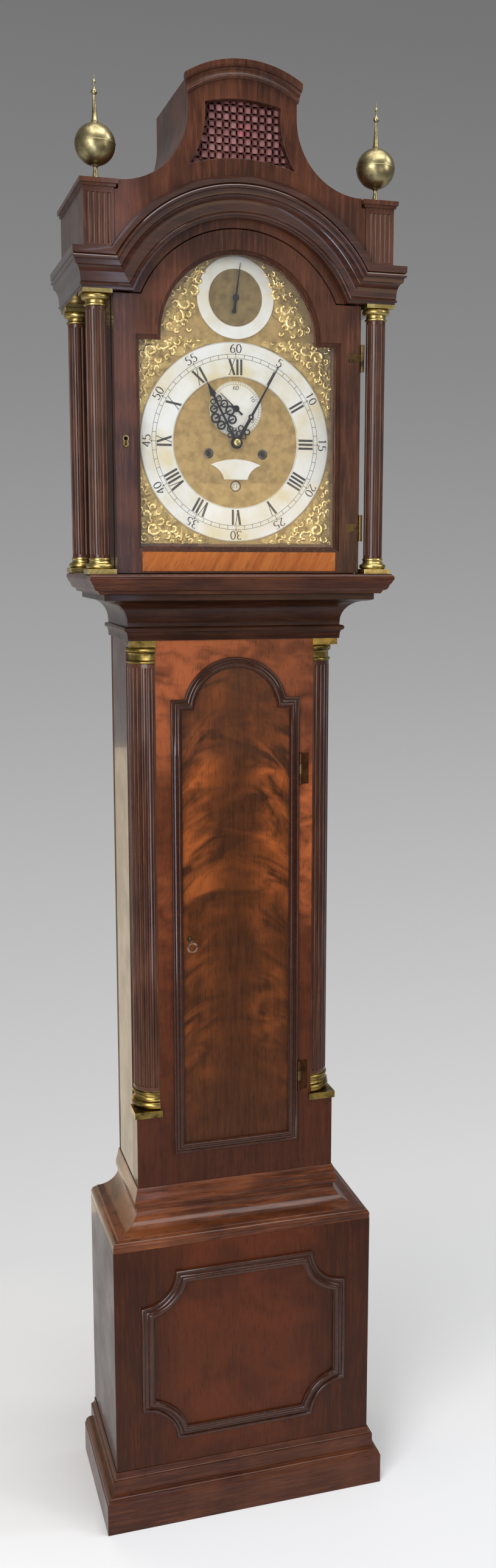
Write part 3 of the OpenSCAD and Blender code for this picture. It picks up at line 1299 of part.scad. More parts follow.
// A weight in its brass case, with the pulley that it hangs from
module weight_and_pulley(x) {
    z = pulley_z;
    r = pulley_r;
    foot = z - 50 - weight_l;
    // Pulley with a groove for the line
    translate([x, -line_y, z]) rotate([90, 0, 0]) rotate_extrude($fn = 96) polygon([
        [2, -3.5], [r + 3.4, -3.5], [r + 3.4, -2.6], [r - 0.1, -0.9], [r - 0.1, 0.9],
        [r + 3.4, 2.6], [r + 3.4, 3.5], [2, 3.5]]);
    bar_y(x, z, 2, line_y - 6.5, line_y + 6.5);
    // Stirrup, with the eye and hook below it
    for (s = [-1, 1]) board(x - 3.5, x + 3.5, line_y + s * 5 - 1, line_y + s * 5 + 1, z - 31, z + 5);
    board(x - 3.5, x + 3.5, line_y - 6, line_y + 6, z - 33, z - 29);
    translate([x, -line_y, z - 44]) cylinder(r = 2, h = 14);
    translate([x, -line_y, foot]) rotate_extrude() polygon(concat(
        [[0, 0], [weight_r - 2, 0], [weight_r, 2], [weight_r, weight_l - 2],
        [weight_r - 2, weight_l], [8, weight_l + 1], [6, weight_l + 7], [0, weight_l + 7]]));
}

module going_weight() color(brass) from_wall() weight_and_pulley(pulley_x);

module strike_weight() color(brass) from_wall() weight_and_pulley(-pulley_x);

// The two falls of a line and its turn under the pulley, from the top of the seatboard down
module line_loop(s) {
    x = s * pulley_x;
    for (at = [line_x, line_far_x]) translate([s * at, -line_y, pulley_z])
        cylinder(r = gut_r, h = seatboard_top - pulley_z, $fn = 16);
    translate([x, -line_y, pulley_z]) rotate([90, 0, 0]) rotate([0, 0, 180])
        rotate_extrude(angle = 180) translate([pulley_r + gut_r, 0]) circle(r = gut_r, $fn = 16);
}

module going_line() color(silk) from_wall() line_loop(1);

module strike_line() color(silk) from_wall() line_loop(-1);

module gut_tails() color(silk) from_wall() for (s = [-1, 1]) {
    translate([s * line_x, -line_y, seatboard_top])
        cylinder(r = gut_r, h = winding_z - seatboard_top, $fn = 16);
    translate([s * line_far_x, -line_y, seatboard_top + 2.6]) sphere(r = 2.6, $fn = 24);
}

plinth();
base_boards();
base_panel_moulding();
waist_moulding();
backboard();
trunk_sides();
trunk_front_frame();
trunk_columns();
trunk_column_brasses();
throat_moulding();
seatboard();
trunk_hinges();
trunk_door();
trunk_door_moulding();
trunk_door_fittings();
trunk_door_key();
hood_base_frame();
hood_sides();
hood_mask();
hood_columns();
hood_column_brasses();
hood_cornice();
pediment();
hood_roof();
fret_panel();
fret_silk();
finial_pedestals();
finials();
hood_hinges();
hood_door();
hood_door_glass();
hood_door_fittings();
dial_plate();
chapter_ring();
dial_centre_plates();
strike_silent_ring();
spandrels();
calendar_ring();
minute_hand();
hour_hand();
seconds_hand();
strike_silent_hand();
movement_frame();
going_barrel();
centre_arbor();
third_arbor();
escape_arbor();
pallet_arbor();
hour_wheel();
minute_wheel();
strike_barrel();
pin_wheel();
hammer();
bell();
pendulum();
going_weight();
strike_weight();
going_line();
strike_line();
gut_tails();
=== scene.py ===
"""A longcase clock in polished mahogany, dressed over its packed construction model.

Lengths are in metres unless a name ends in _mm. X is right, Z is up and the clock faces -Y.
A depth in mm is a distance from the wall that the clock stands against.
"""

import json
import logging
import math
from collections.abc import Callable, Sequence
from dataclasses import dataclass, field
from enum import Enum
from functools import partial

import bmesh
import bpy
import numpy as np
from mathutils import Matrix, Vector

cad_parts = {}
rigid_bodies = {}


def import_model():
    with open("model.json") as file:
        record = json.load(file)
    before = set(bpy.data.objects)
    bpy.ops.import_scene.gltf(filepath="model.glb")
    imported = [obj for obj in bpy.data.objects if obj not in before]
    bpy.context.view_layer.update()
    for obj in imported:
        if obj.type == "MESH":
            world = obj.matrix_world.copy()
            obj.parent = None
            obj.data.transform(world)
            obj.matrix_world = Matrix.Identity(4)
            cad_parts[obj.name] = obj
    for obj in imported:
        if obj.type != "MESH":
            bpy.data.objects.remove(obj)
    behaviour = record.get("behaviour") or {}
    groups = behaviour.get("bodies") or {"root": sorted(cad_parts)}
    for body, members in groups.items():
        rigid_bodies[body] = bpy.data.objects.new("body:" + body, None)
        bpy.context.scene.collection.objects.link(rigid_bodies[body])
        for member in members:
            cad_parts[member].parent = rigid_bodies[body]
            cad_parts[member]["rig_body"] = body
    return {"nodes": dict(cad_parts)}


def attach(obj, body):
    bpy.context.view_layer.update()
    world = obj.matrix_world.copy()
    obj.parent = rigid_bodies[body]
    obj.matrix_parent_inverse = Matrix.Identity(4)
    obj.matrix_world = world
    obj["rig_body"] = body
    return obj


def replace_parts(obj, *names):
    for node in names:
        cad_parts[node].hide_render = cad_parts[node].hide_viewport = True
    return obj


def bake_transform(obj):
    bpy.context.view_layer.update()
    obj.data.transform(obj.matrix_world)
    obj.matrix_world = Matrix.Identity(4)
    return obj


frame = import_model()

LOG = logging.getLogger("longcase_clock")
WALL = 0.1175  # Y of the wall, half the clock's depth behind its middle
DIAL_Z_MM = 1731.0  # height of the hands' centre
WAVE_BAND = 0.314159  # width in metres of a wave texture's band at a scale of 1

Surface = tuple[np.ndarray, np.ndarray]


def linear(colour: str) -> tuple[float, float, float, float]:
    """Turns an sRGB hex colour to linear light.

    Args:
        colour: six hex digits after a hash.

    Returns:
        Red, green, blue and an alpha of 1.
    """
    parts = [int(colour[i:i + 2], 16) / 255 for i in (1, 3, 5)]
    return (*[p / 12.92 if p <= 0.04045 else ((p + 0.055) / 1.055) ** 2.4 for p in parts], 1.0)


def add_node(tree: bpy.types.NodeTree, kind: str, inputs: dict | Sequence = (),
             stops: Sequence = (), **settings: object) -> bpy.types.Node:
    """Adds a shader node with its settings, values and links.

    Args:
        tree: the tree that it goes in.
        kind: the node's type name after ShaderNode.
        inputs: a value, or a node or socket to link, for each input in order or by its key.
        stops: places and colours of a colour ramp.
        settings: properties of the node.

    Returns:
        The new node.
    """
    node = tree.nodes.new("ShaderNode" + kind)
    for key, value in settings.items():
        setattr(node, key, value)
    for key, value in inputs.items() if isinstance(inputs, dict) else enumerate(inputs):
        if isinstance(value, bpy.types.Node):
            value = next(socket for socket in value.outputs if socket.enabled)
        if isinstance(value, bpy.types.NodeSocket):
            tree.links.new(value, node.inputs[key])
        else:
            node.inputs[key].default_value = value
    if stops:
        ramp = node.color_ramp
        while len(ramp.elements) < len(stops):
            ramp.elements.new(1.0)
        for element, (place, colour) in zip(ramp.elements, stops):
            element.position = place
            element.color = linear(colour)
    return node


class Grain(Enum):
    """Which way a board's grain runs: the pattern's scale along X, Y and Z."""

    UPRIGHT = (1.0, 1.0, 0.07)
    ALONG = (0.07, 0.07, 1.0)
    SHORT = (0.5, 0.5, 0.5)


class Figure(Enum):
    """The wood's figure: band size, detail, roughness, distortion, and the values it spans."""

    PLAIN = (0.12, 2.0, 0.5, 0.4, 0.46, 0.72)
    RIPPLED = (0.02, 3.0, 0.5, 0.6, 0.2, 0.6)
    FLAME = (0.034, 3.5, 0.55, 0.9, 0.36, 0.64)
    SLANTED = (0.02, 3.0, 0.5, 0.2, 0.3, 0.62)
    PANEL = (0.09, 4.0, 0.5, 1.0, 0.2, 0.6)


@dataclass(frozen=True)
class Finish:
    """What every finish has: a name, and the name of a slot of the record, which nothing here
    reads.
    """

    name: str
    slot: str

    def material(self) -> bpy.types.Material:
        """Builds the finish's material on its first use.

        Returns:
            The material, the same one each time.
        """
        found = bpy.data.materials.get(self.name)
        if found:
            return found
        made = bpy.data.materials.new(self.name)
        made.use_nodes = True
        made.node_tree.nodes.clear()
        add = partial(add_node, made.node_tree)
        add("OutputMaterial", {"Surface": self.surface(add)})
        return made

    def surface(self, add: Callable) -> bpy.types.Node:
        """Builds the finish's shader."""
        raise NotImplementedError


@dataclass(frozen=True)
class Mahogany(Finish):
    """Old Cuban mahogany veneer, scraped, filled and French polished.

    The shellac lies on it as a thin clear coat with soft reflections, over a red-brown ground
    with fine dark pores about 20 mm long and a figure that changes with the cut. showing is how
    strongly the figure shows above the second height of fades, in metres; below the first it
    nearly goes. streak is the grain's own light colour, where it has one.
    """

    dark: str
    middle: str
    light: str
    grain: Grain = Grain.UPRIGHT
    figure: Figure = Figure.PLAIN
    showing: float = 0.5
    fades: tuple[float, float] = (-1.0, 0.0)
    streak: str = ""
    roughness: float = 0.3
    sheen: float = 0.1
    polish: float = 0.2

    def surface(self, add: Callable) -> bpy.types.Node:
        """Grain lines 5 mm apart, clouds 70 mm wide, pores 1.4 mm apart, and the figure.

        The pores are drawn coarser than real ones so that they can show.

        Args:
            add: add_node on the material.

        Returns:
            The shader.
        """
        place = add("TexCoord").outputs["Object"]
        if self.figure is Figure.SLANTED:
            run = add("Mapping", {"Vector": place, "Rotation": (0.0, math.radians(28), 0.0),
                                  "Scale": (1.0, 1.0, 12.0)}, vector_type="TEXTURE")
        else:
            run = add("Mapping", {"Vector": place, "Scale": self.grain.value})
        lines = add("TexNoise", {"Vector": run, "Scale": 1 / 0.005, "Detail": 4.0,
                                 "Roughness": 0.62, "Distortion": 0.25})
        pores = add("TexNoise", {"Vector": run, "Scale": 1 / 0.0014, "Detail": 1.0})
        clouds = add("TexNoise", {"Vector": place, "Scale": 1 / 0.07, "Detail": 3.0,
                                  "Roughness": 0.55})
        ground = add("ValToRGB", [lines], stops=[
            (0.24, self.dark), (0.5, self.middle), (0.8, self.streak or self.light)])
        veiled = add("MapRange", [clouds, 0.32, 0.68, 0.0, 0.4])
        toned = add("Mix", {0: veiled, 6: ground, 7: linear(self.dark)}, data_type="RGBA")
        figured = add("Mix", {0: self.bands(add, place, run), 6: toned, 7: linear(self.light)},
                      data_type="RGBA")
        pitted = add("MapRange", [pores, 0.6, 0.7, 0.0, 0.42])
        grained = add("Mix", {0: pitted, 6: figured, 7: linear("#1a0c08")}, data_type="RGBA")
        worn = add("MapRange", [clouds, 0.3, 0.7, self.roughness - 0.05, self.roughness + 0.09])
        relief = add("Bump", {"Height": lines, "Strength": 0.08, "Distance": 0.0003})
        return add("BsdfPrincipled", {
            "Base Color": grained, "Roughness": worn, "Normal": relief, "IOR": 1.5,
            "Specular IOR Level": self.sheen, "Coat Weight": self.polish,
            "Coat Roughness": 0.08, "Coat IOR": 1.5})

    def bands(self, add: Callable, place: bpy.types.NodeSocket,
              run: bpy.types.Node) -> bpy.types.Node:
        """How far the light figure shows at each point, with a painted reflection at the head of
        the rippled frame's left stile.

        Args:
            add: add_node on the material.
            place: the object coordinates.
            run: the coordinates stretched along the grain.

        Returns:
            A factor from 0 to the finish's showing.
        """
        parts = add("SeparateXYZ", [place])
        x, height = parts.outputs["X"], parts.outputs["Z"]
        square = add("Math", [x, x], operation="MULTIPLY")
        tall = add("MapRange", [height, 0.6, 1.42])
        share = add("MapRange", [height, *self.fades, 0.12, self.showing])
        laid, veils = place, []
        if self.figure is Figure.FLAME:
            # Two plumes beside a dark spine: bands along height plus five times x squared
            arch = add("Math", [square, 5.0, height], operation="MULTIPLY_ADD")
            flow = add("CombineXYZ", [x, 0.0, arch])
            laid = add("Mapping", {"Vector": flow, "Scale": (0.5, 1.0, 1.0)})
            over = add("MapRange", [height, 1.27, 1.35, 0.0, 0.0022])
            open_spine = add("Math", [square, over])
            patches = add("TexNoise", {"Vector": place, "Scale": 1 / 0.07, "Detail": 2.0,
                                       "Distortion": 0.6})
            veils = [add("MapRange", [open_spine, 0.0, 0.0024, 0.2, 1.0]),
                     add("ValToRGB", [tall], stops=[
                         (0.08, "#595959"), (0.26, "#c8c8c8"), (0.42, "#9c9c9c"),
                         (0.55, "#f0f0f0"), (0.78, "#ffffff"), (0.88, "#9c9c9c"),
                         (0.95, "#a4a4a4")]),
                     add("MapRange", [patches, 0.4, 0.58, 0.35, 1.0])]
        elif self.figure is Figure.RIPPLED:
            # Left stile bright at its head (figure and painted reflection), the right one from its
            # middle up
            laid = add("Mapping", {"Vector": place, "Scale": (0.5, 1.0, 0.8)})
            side = add("MapRange", [x, -0.07, 0.07])
            left = add("ValToRGB", [tall], stops=[
                (0.05, "#494949"), (0.35, "#6c6c6c"), (0.54, "#b4b4b4"), (0.62, "#747474"),
                (0.72, "#848484"), (0.82, "#dadada"), (0.98, "#f6f6f6")])
            right = add("ValToRGB", [tall], stops=[
                (0.05, "#404040"), (0.44, "#6c6c6c"), (0.5, "#f0f0f0"), (0.73, "#ffffff"),
                (0.81, "#b4b4b4"), (0.92, "#aaaaaa"), (0.98, "#c4c4c4")])
            veils = [add("Mix", {0: side, 6: left, 7: right}, data_type="RGBA")]
        elif self.figure is Figure.SLANTED:
            laid = run
        elif self.figure is Figure.PANEL:
            # Lighter in the middle of the base, where the shaped panel lies
            veils = [add("MapRange", [square, 0.009, 0.022, 1.0, 0.12])]
        for veil in veils:
            share = add("Math", [share, veil], operation="MULTIPLY")
        size, detail, rough, distortion, low, high = self.figure.value
        noise = add("TexNoise", {"Vector": laid, "Scale": 1 / size, "Detail": detail,
                                 "Roughness": rough, "Distortion": distortion})
        return add("MapRange", [noise, low, high, 0.0, share])


@dataclass(frozen=True)
class Brass(Finish):
    """Cast or sheet yellow brass, brushed or matted and then lacquered, with some tarnish.

    It is a warm metal with soft highlights and olive-brown clouds where the lacquer has aged.
    """

    bright: str
    tarnish: str
    roughness: float = 0.3
    grit_mm: float = 3.0
    relief: float = 0.0
    height_mm: float = 0.4

    def surface(self, add: Callable) -> bpy.types.Node:
        """Clouds 15 mm wide, and grit of the finish's own size as a bump.

        Args:
            add: add_node on the material.

        Returns:
            The shader.
        """
        place = add("TexCoord").outputs["Object"]
        clouds = add("TexNoise", {"Vector": place, "Scale": 1 / 0.015, "Detail": 4.0,
                                  "Roughness": 0.6})
        colour = add("ValToRGB", [clouds], stops=[(0.34, self.tarnish), (0.6, self.bright)])
        grit = add("TexNoise", {"Vector": place, "Scale": 1000 / self.grit_mm, "Detail": 2.0})
        relief = add("Bump", {"Height": grit, "Strength": self.relief,
                              "Distance": self.height_mm / 1000})
        worn = add("MapRange", [clouds, 0.3, 0.7, self.roughness + 0.1, self.roughness - 0.05])
        return add("BsdfPrincipled", {"Base Color": colour, "Roughness": worn, "Metallic": 1.0,
                                      "Normal": relief})


@dataclass(frozen=True)
class SilveredBrass(Finish):
    """Brass rubbed with silver chloride and cream of tartar, then lacquered.

    It is a soft grainy white metal that yellows in clouds where the lacquer has gone.
    """

    def surface(self, add: Callable) -> bpy.types.Node:
        """Yellowed clouds 60 mm wide over rubbing marks 2 mm apart.

        Args:
            add: add_node on the material.

        Returns:
            The shader.
        """
        place = add("TexCoord").outputs["Object"]
        clouds = add("TexNoise", {"Vector": place, "Scale": 1 / 0.06, "Detail": 4.0,
                                  "Roughness": 0.6})
        colour = add("ValToRGB", [clouds], stops=[
            (0.32, "#cabd9c"), (0.45, "#cfcabf"), (0.6, "#d5d4d2")])
        rubbed = add("TexNoise", {"Vector": place, "Scale": 1 / 0.002, "Detail": 2.0})
        relief = add("Bump", {"Height": rubbed, "Strength": 0.12, "Distance": 0.0003})
        return add("BsdfPrincipled", {"Base Color": colour, "Roughness": 0.46,
                                      "Metallic": 0.85, "Normal": relief})


@dataclass(frozen=True)
class BluedSteel(Finish):
    """Polished steel tempered blue over heat: nearly black, with a cold gleam."""

    tone: str = "#23252d"
    roughness: float = 0.32

    def surface(self, add: Callable) -> bpy.types.Node:
        """Temper colours drift in clouds 8 mm wide.

        Args:
            add: add_node on the material.

        Returns:
            The shader.
        """
        place = add("TexCoord").outputs["Object"]
        clouds = add("TexNoise", {"Vector": place, "Scale": 1 / 0.008, "Detail": 3.0})
        colour = add("ValToRGB", [clouds], stops=[(0.3, "#17171b"), (0.7, self.tone)])
        return add("BsdfPrincipled", {"Base Color": colour, "Roughness": self.roughness,
                                      "Metallic": 1.0})


@dataclass(frozen=True)
class EngraversWax(Finish):
    """Black shellac wax melted into engraved lines and stoned flat: matt and dense."""

    def surface(self, add: Callable) -> bpy.types.Node:
        """Worn patches 3 mm wide let it go brown.

        Args:
            add: add_node on the material.

        Returns:
            The shader.
        """
        place = add("TexCoord").outputs["Object"]
        clouds = add("TexNoise", {"Vector": place, "Scale": 1 / 0.003, "Detail": 2.0})
        colour = add("ValToRGB", [clouds], stops=[(0.4, "#0d0b0a"), (0.75, "#241e19")])
        return add("BsdfPrincipled", {"Base Color": colour, "Roughness": 0.55})


@dataclass(frozen=True)
class WindowGlass(Finish):
    """Thin drawn soda-lime glass: clear, with slow waves in its reflections."""

    tint: str = "#fbfcfa"

    def surface(self, add: Callable) -> bpy.types.Node:
        """Waves 50 mm apart. Lamps pass straight through by the light path.

        Args:
            add: add_node on the material.

        Returns:
            The shader.
        """
        place = add("TexCoord").outputs["Object"]
        waves = add("TexNoise", {"Vector": place, "Scale": 1 / 0.05, "Detail": 1.0})
        relief = add("Bump", {"Height": waves, "Strength": 0.05, "Distance": 0.001})
        glass = add("BsdfPrincipled", {
            "Base Color": linear(self.tint), "Roughness": 0.0, "IOR": 1.45,
            "Transmission Weight": 1.0, "Normal": relief})
        clear = add("BsdfTransparent", {"Color": linear(self.tint)})
        return add("MixShader", [add("LightPath").outputs["Is Shadow Ray"], glass, clear])


@dataclass(frozen=True)
class Silk(Finish):
    """Faded rose silk stretched behind a fret: a fine plain weave with a soft sheen."""

    spot_place: tuple[float, float, float] = (0.004, -0.078, 2.166)

    def surface(self, add: Callable) -> bpy.types.Node:
        """Threads 2.4 mm apart, drawn coarser than silk so that the weave can show.

        One small spot near the middle has kept its red.

        Args:
            add: add_node on the material.

        Returns:
            The shader.
        """
        place = add("TexCoord").outputs["Object"]
        warp, weft = (add("TexWave", {"Vector": place, "Scale": WAVE_BAND / 0.0023675,
                                      "Distortion": 0.3}, bands_direction=axis)
                      for axis in ("X", "Z"))
        woven = add("Math", [warp.outputs["Fac"], weft.outputs["Fac"]], operation="MAXIMUM")
        clouds = add("TexNoise", {"Vector": place, "Scale": 1 / 0.025, "Detail": 3.0})
        faded = add("ValToRGB", [clouds], stops=[
            (0.35, "#925c58"), (0.55, "#a87370"), (0.75, "#b58480")])
        spot = add("VectorMath", [place, self.spot_place], operation="DISTANCE")
        near = add("MapRange", [spot.outputs["Value"], 0.006, 0.012, 0.7, 0.0])
        colour = add("Mix", {0: near, 6: faded, 7: linear("#c9606a")}, data_type="RGBA")
        relief = add("Bump", {"Height": woven, "Strength": 0.4, "Distance": 0.0003})
        return add("BsdfPrincipled", {"Base Color": colour, "Roughness": 0.6,
                                      "Sheen Weight": 0.4, "Normal": relief})


@dataclass(frozen=True)
class Gut(Finish):
    """Twisted gut line, oiled: straw yellow and a little translucent to the eye."""

    def surface(self, add: Callable) -> bpy.types.Node:
        """Twists 12 mm long, drawn longer than the gut's own so that they can show.

        Args:
            add: add_node on the material.

        Returns:
            The shader.
        """
        place = add("TexCoord").outputs["Object"]
        twist = add("TexWave", {"Vector": place, "Scale": 2 * WAVE_BAND / 0.011837,
                                "Distortion": 1.0}, bands_direction="DIAGONAL")
        colour = add("ValToRGB", [twist.outputs["Fac"]], stops=[
            (0.2, "#8f7440"), (0.8, "#c2a468")])
        return add("BsdfPrincipled", {"Base Color": colour, "Roughness": 0.4})


CASE_WOOD = Mahogany("mahogany_case_polished", "mahogany", "#2c1409", "#3e1d0d", "#522812",
                     showing=0.35, sheen=0.2, polish=0.3)
BACK_WOOD = Mahogany("mahogany_backboard_planed", "mahogany", "#2f1d13", "#4a3020", "#674730",
                     roughness=0.55, polish=0.0)
BASE_WOOD = Mahogany("mahogany_base_veneer", "mahogany", "#291207", "#36190a", "#54260f",
                     figure=Figure.PANEL, showing=0.95, fades=(0.07, 0.13), sheen=0.08,
                     polish=0.22)
MOULDING_WOOD = Mahogany("mahogany_moulding_polished", "mahogany", "#2e160c", "#462416",
                         "#663a22", Grain.ALONG, showing=0.4, sheen=0.08, polish=0.3)
# A darker copy of the moulding mahogany: painted shade for the throat moulding under the hood
THROAT_WOOD_PAINTED_SHADE = Mahogany("mahogany_throat_painted_shade", "mahogany", "#1f0f08", "#301a10", "#4a2a1b",
                       Grain.ALONG, showing=0.3, sheen=0.05, polish=0.3)
BEAD_WOOD = Mahogany("mahogany_bead_polished", "mahogany", "#2e170d", "#3a1e12", "#4a2817",
                     Grain.SHORT, showing=0.2, roughness=0.2, polish=0.6)
BRIGHT_MOULDING = Mahogany("mahogany_cove_polished", "mahogany", "#31180d", "#4f2917",
                           "#844b2a", Grain.ALONG, showing=0.55, polish=0.35)
# Its figure also carries a painted reflection at the head of the left stile
FRONT_WOOD = Mahogany("mahogany_rippled_veneer", "figured_mahogany", "#2d150c", "#412012",
                      "#a25730", figure=Figure.RIPPLED, showing=1.0, fades=(0.55, 0.7),
                      streak="#4f2817")
FLAME_WOOD = Mahogany("mahogany_flame_veneer", "figured_mahogany", "#2f190c", "#442512",
                      "#985024", figure=Figure.FLAME, showing=1.0, streak="#52301a")
RAIL_WOOD = Mahogany("mahogany_slanted_veneer", "mahogany", "#743816", "#944c20", "#b46c32",
                     figure=Figure.SLANTED, showing=0.6)
FLUTED_WOOD = Mahogany("mahogany_turned_fluted", "mahogany", "#2c160d", "#452718", "#684230",
                       showing=0.4, sheen=0.15, polish=0.35)
HOOD_WOOD = Mahogany("mahogany_hood_polished", "mahogany", "#29150d", "#3e2317", "#6b3f2a",
                     sheen=0.15, polish=0.25)
FRET_WOOD = Mahogany("mahogany_fret_sawn", "mahogany", "#3c2020", "#583331", "#6c4440",
                     Grain.SHORT, showing=0.3)
HOOD_MOULDING = Mahogany("mahogany_cornice_polished", "mahogany", "#25120a", "#371c12",
                         "#4c2a1c", Grain.ALONG, showing=0.35, roughness=0.22, sheen=0.08,
                         polish=0.8)
BRIGHT_BRASS = Brass("brass_lacquered", "brass", "#c8b474", "#8c7847", relief=0.08)
# A darker copy of the lacquered brass: painted shade on the trunk columns' caps and bases
COLUMN_BRASS_PAINTED_SHADE = Brass("brass_column_painted_shade", "brass", "#a08749", "#4d4025", relief=0.08)
CAST_BRASS = Brass("brass_cast_gilt", "brass", "#f6dea0", "#c8ab6c", 0.3, 2.0, 0.3)
# Darker than the scrolls: painted shade on the ground between the spandrel scrolls
SPANDREL_GROUND_PAINTED_SHADE = Brass("brass_spandrel_ground_painted_shade", "brass", "#ccaf72", "#7d683f", 0.38, 5.0, 1.0, 2.0)
MATTED_BRASS = Brass("brass_matted", "brass", "#aa8e5d", "#8b7248", 0.5, 1.2, 0.5)
ARCH_BRASS = Brass("brass_matted_arch", "brass", "#7f6c48", "#665435", 0.5, 1.2, 0.5)
HINGE_BRASS = Brass("brass_under_shellac", "dull_brass", "#54361f", "#302014", 0.45, relief=0.1)
OLD_BRASS = Brass("brass_aged", "dull_brass", "#a59a72", "#6b6043", 0.34, relief=0.12)
DARK_BRASS = Brass("brass_patinated", "dull_brass", "#6a5638", "#3d3020", 0.42, relief=0.2)
SILVER = SilveredBrass("brass_silvered", "silvered_brass")
STEEL = BluedSteel("steel_blued", "blued_steel")
WORN_STEEL = BluedSteel("steel_worn", "blued_steel", "#6e655b", 0.4)
PALE_STEEL = BluedSteel("steel_key_worn", "blued_steel", "#d8b494", 0.4)
WAX = EngraversWax("wax_engraved", "blued_steel")
GLASS = WindowGlass("glass_drawn", "glass")
SILK = Silk("silk_rose", "silk")
GUT = Gut("gut_oiled", "gut")


def row_y(depth_mm: float) -> float:
    """The Y of a point at that depth from the wall."""
    return WALL - depth_mm / 1000


def show(piece: bpy.types.Object, body: str, finish: Finish) -> bpy.types.Object:
    """Links a piece, gives it its finish and lets it ride on a body.

    Args:
        piece: the new object.
        body: the body of the frame that carries it.
        finish: its finish.

    Returns:
        The same object.
    """
    bpy.context.scene.collection.objects.link(piece)
    piece.data.materials.clear()
    piece.data.materials.append(finish.material())
    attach(piece, body)
    LOG.info("piece %s on %s in %s, %d faces", piece.name, body, finish.name,
             len(piece.data.polygons))
    return piece


def dressed(node: str, finish: Finish, edge_mm: float = 0.5, angle: float = 34) -> bpy.types.Object:
    """A merged copy of a CAD node with eased edges, which stands for the node.

    Args:
        node: the node's name.
        finish: the copy's finish.
        edge_mm: width of the eased edges.
        angle: edges sharper than this many degrees stay sharp and are eased.

    Returns:
        The new piece.
    """
    source = frame["nodes"][node]
    mesh = source.data.copy()
    mesh.name = node + "_finished"
    if "custom_normal" in mesh.attributes:
        mesh.attributes.remove(mesh.attributes["custom_normal"])
    shape = bmesh.new()
    shape.from_mesh(mesh)
    bmesh.ops.remove_doubles(shape, verts=shape.verts, dist=4e-6)
    bmesh.ops.dissolve_limit(shape, angle_limit=math.radians(0.4), verts=shape.verts,
                             edges=shape.edges)
    shape.to_mesh(mesh)
    shape.free()
    mesh.shade_smooth()
    mesh.set_sharp_from_angle(angle=math.radians(angle))
    piece = show(bpy.data.objects.new(node + "_finished", mesh), source["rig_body"], finish)
    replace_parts(piece, node)
    if edge_mm > 0:
        eased = piece.modifiers.new("eased_edges", "BEVEL")
        eased.width = edge_mm / 1000
        eased.segments = 2
        eased.limit_method = "ANGLE"
        eased.angle_limit = math.radians(angle + 6)
        eased.harden_normals = True
    return piece


class Shape:
    """Gathers surfaces as whole arrays and makes them one mesh."""

    def __init__(self) -> None:
        """Starts empty."""
        self.points: list[np.ndarray] = []
        self.faces: list[list[int]] = []
        self.count = 0

    def add(self, surface: Surface) -> "Shape":
        """Adds a surface: points, and faces that count from the first of them.

        Args:
            surface: rows of X, Y and Z in metres, and rows of four point numbers.

        Returns:
            The shape itself.
        """
        points, faces = surface
        self.points.append(points)
        self.faces += (faces + self.count).tolist()
        self.count += len(points)
        return self

    def piece(self, name: str, body: str, finish: Finish, angle: float = 38) -> bpy.types.Object:
        """Makes the mesh, closes its seams and turns its faces outwards.

        Args:
            name: the piece's name.
            body: the body that carries it.
            finish: its finish.
            angle: edges sharper than this many degrees stay sharp.

        Returns:
            The new piece.
        """
        mesh = bpy.data.meshes.new(name)
        mesh.from_pydata(np.concatenate(self.points).tolist(), [], self.faces)
        shape = bmesh.new()
        shape.from_mesh(mesh)
        bmesh.ops.remove_doubles(shape, verts=shape.verts, dist=1e-6)
        bmesh.ops.recalc_face_normals(shape, faces=shape.faces)
        shape.to_mesh(mesh)
        shape.free()
        mesh.shade_smooth()
        mesh.set_sharp_from_angle(angle=math.radians(angle))
        return show(bpy.data.objects.new(name, mesh), body, finish)


def grid_faces(rows: int, columns: int, closed: bool) -> np.ndarray:
    """Quads of a grid of points, row after row.

    Args:
        rows: points along the first parameter.
        columns: points along the second parameter.
        closed: whether the last column joins the first.

    Returns:
        One row of four point numbers for each quad.
    """
    r, c = np.meshgrid(np.arange(rows - 1), np.arange(columns if closed else columns - 1),
                       indexing="ij")
    here, right = (r * columns + c).ravel(), (r * columns + (c + 1) % columns).ravel()
    return np.stack([here, right, right + columns, here + columns], axis=1)


def turned(profile: np.ndarray, x_mm: float, at_mm: float, sides: int = 40,
           start: float = 0.0, upright: bool = False) -> Surface:
    """A surface of revolution about a line that leaves the wall, or about an upright one.

    Args:
        profile: rows of radius, and of depth from the wall or height, in mm.
        x_mm: the axis's place across.
        at_mm: its height, or the depth of an upright one.
        sides: points round the axis.
        start: degrees to the first point.
        upright: whether the axis stands upright.

    Returns:
        Points and quads.
    """
    turn = np.linspace(0, 2 * np.pi, sides, endpoint=False) + math.radians(start)
    radius, along = profile[:, :1] / 1000, profile[:, 1:] + 0 * turn
    if upright:
        y, z = row_y(at_mm) + radius * np.sin(turn), along / 1000
    else:
        y, z = row_y(along), at_mm / 1000 + radius * np.sin(turn)
    points = np.stack([x_mm / 1000 + radius * np.cos(turn), y, z], axis=2)
    return points.reshape(-1, 3), grid_faces(len(profile), sides, True)


def moulded(outline: np.ndarray, depth_mm: np.ndarray) -> Surface:
    """A moulding: row after row of an outline that shrinks, each at its own depth.

    Args:
        outline: for each step of the profile, the outline's X and Z in mm.
        depth_mm: for each step, its depth from the wall.

    Returns:
        Points and quads of a closed ring.
    """
    y = np.broadcast_to(row_y(depth_mm)[:, None], outline.shape[:2])
    points = np.stack([outline[..., 0] / 1000, y, outline[..., 1] / 1000], axis=2)
    return points.reshape(-1, 3), grid_faces(len(outline), outline.shape[1], True)


def sideways(path: np.ndarray) -> np.ndarray:
    """Unit normals of a flat path, to its left.

    Args:
        path: rows of X and Z.

    Returns:
        A row for each row of the path.
    """
    along = np.gradient(path, axis=0)
    along /= np.maximum(np.linalg.norm(along, axis=1, keepdims=True), 1e-9)
    return np.stack([-along[:, 1], along[:, 0]], axis=1)


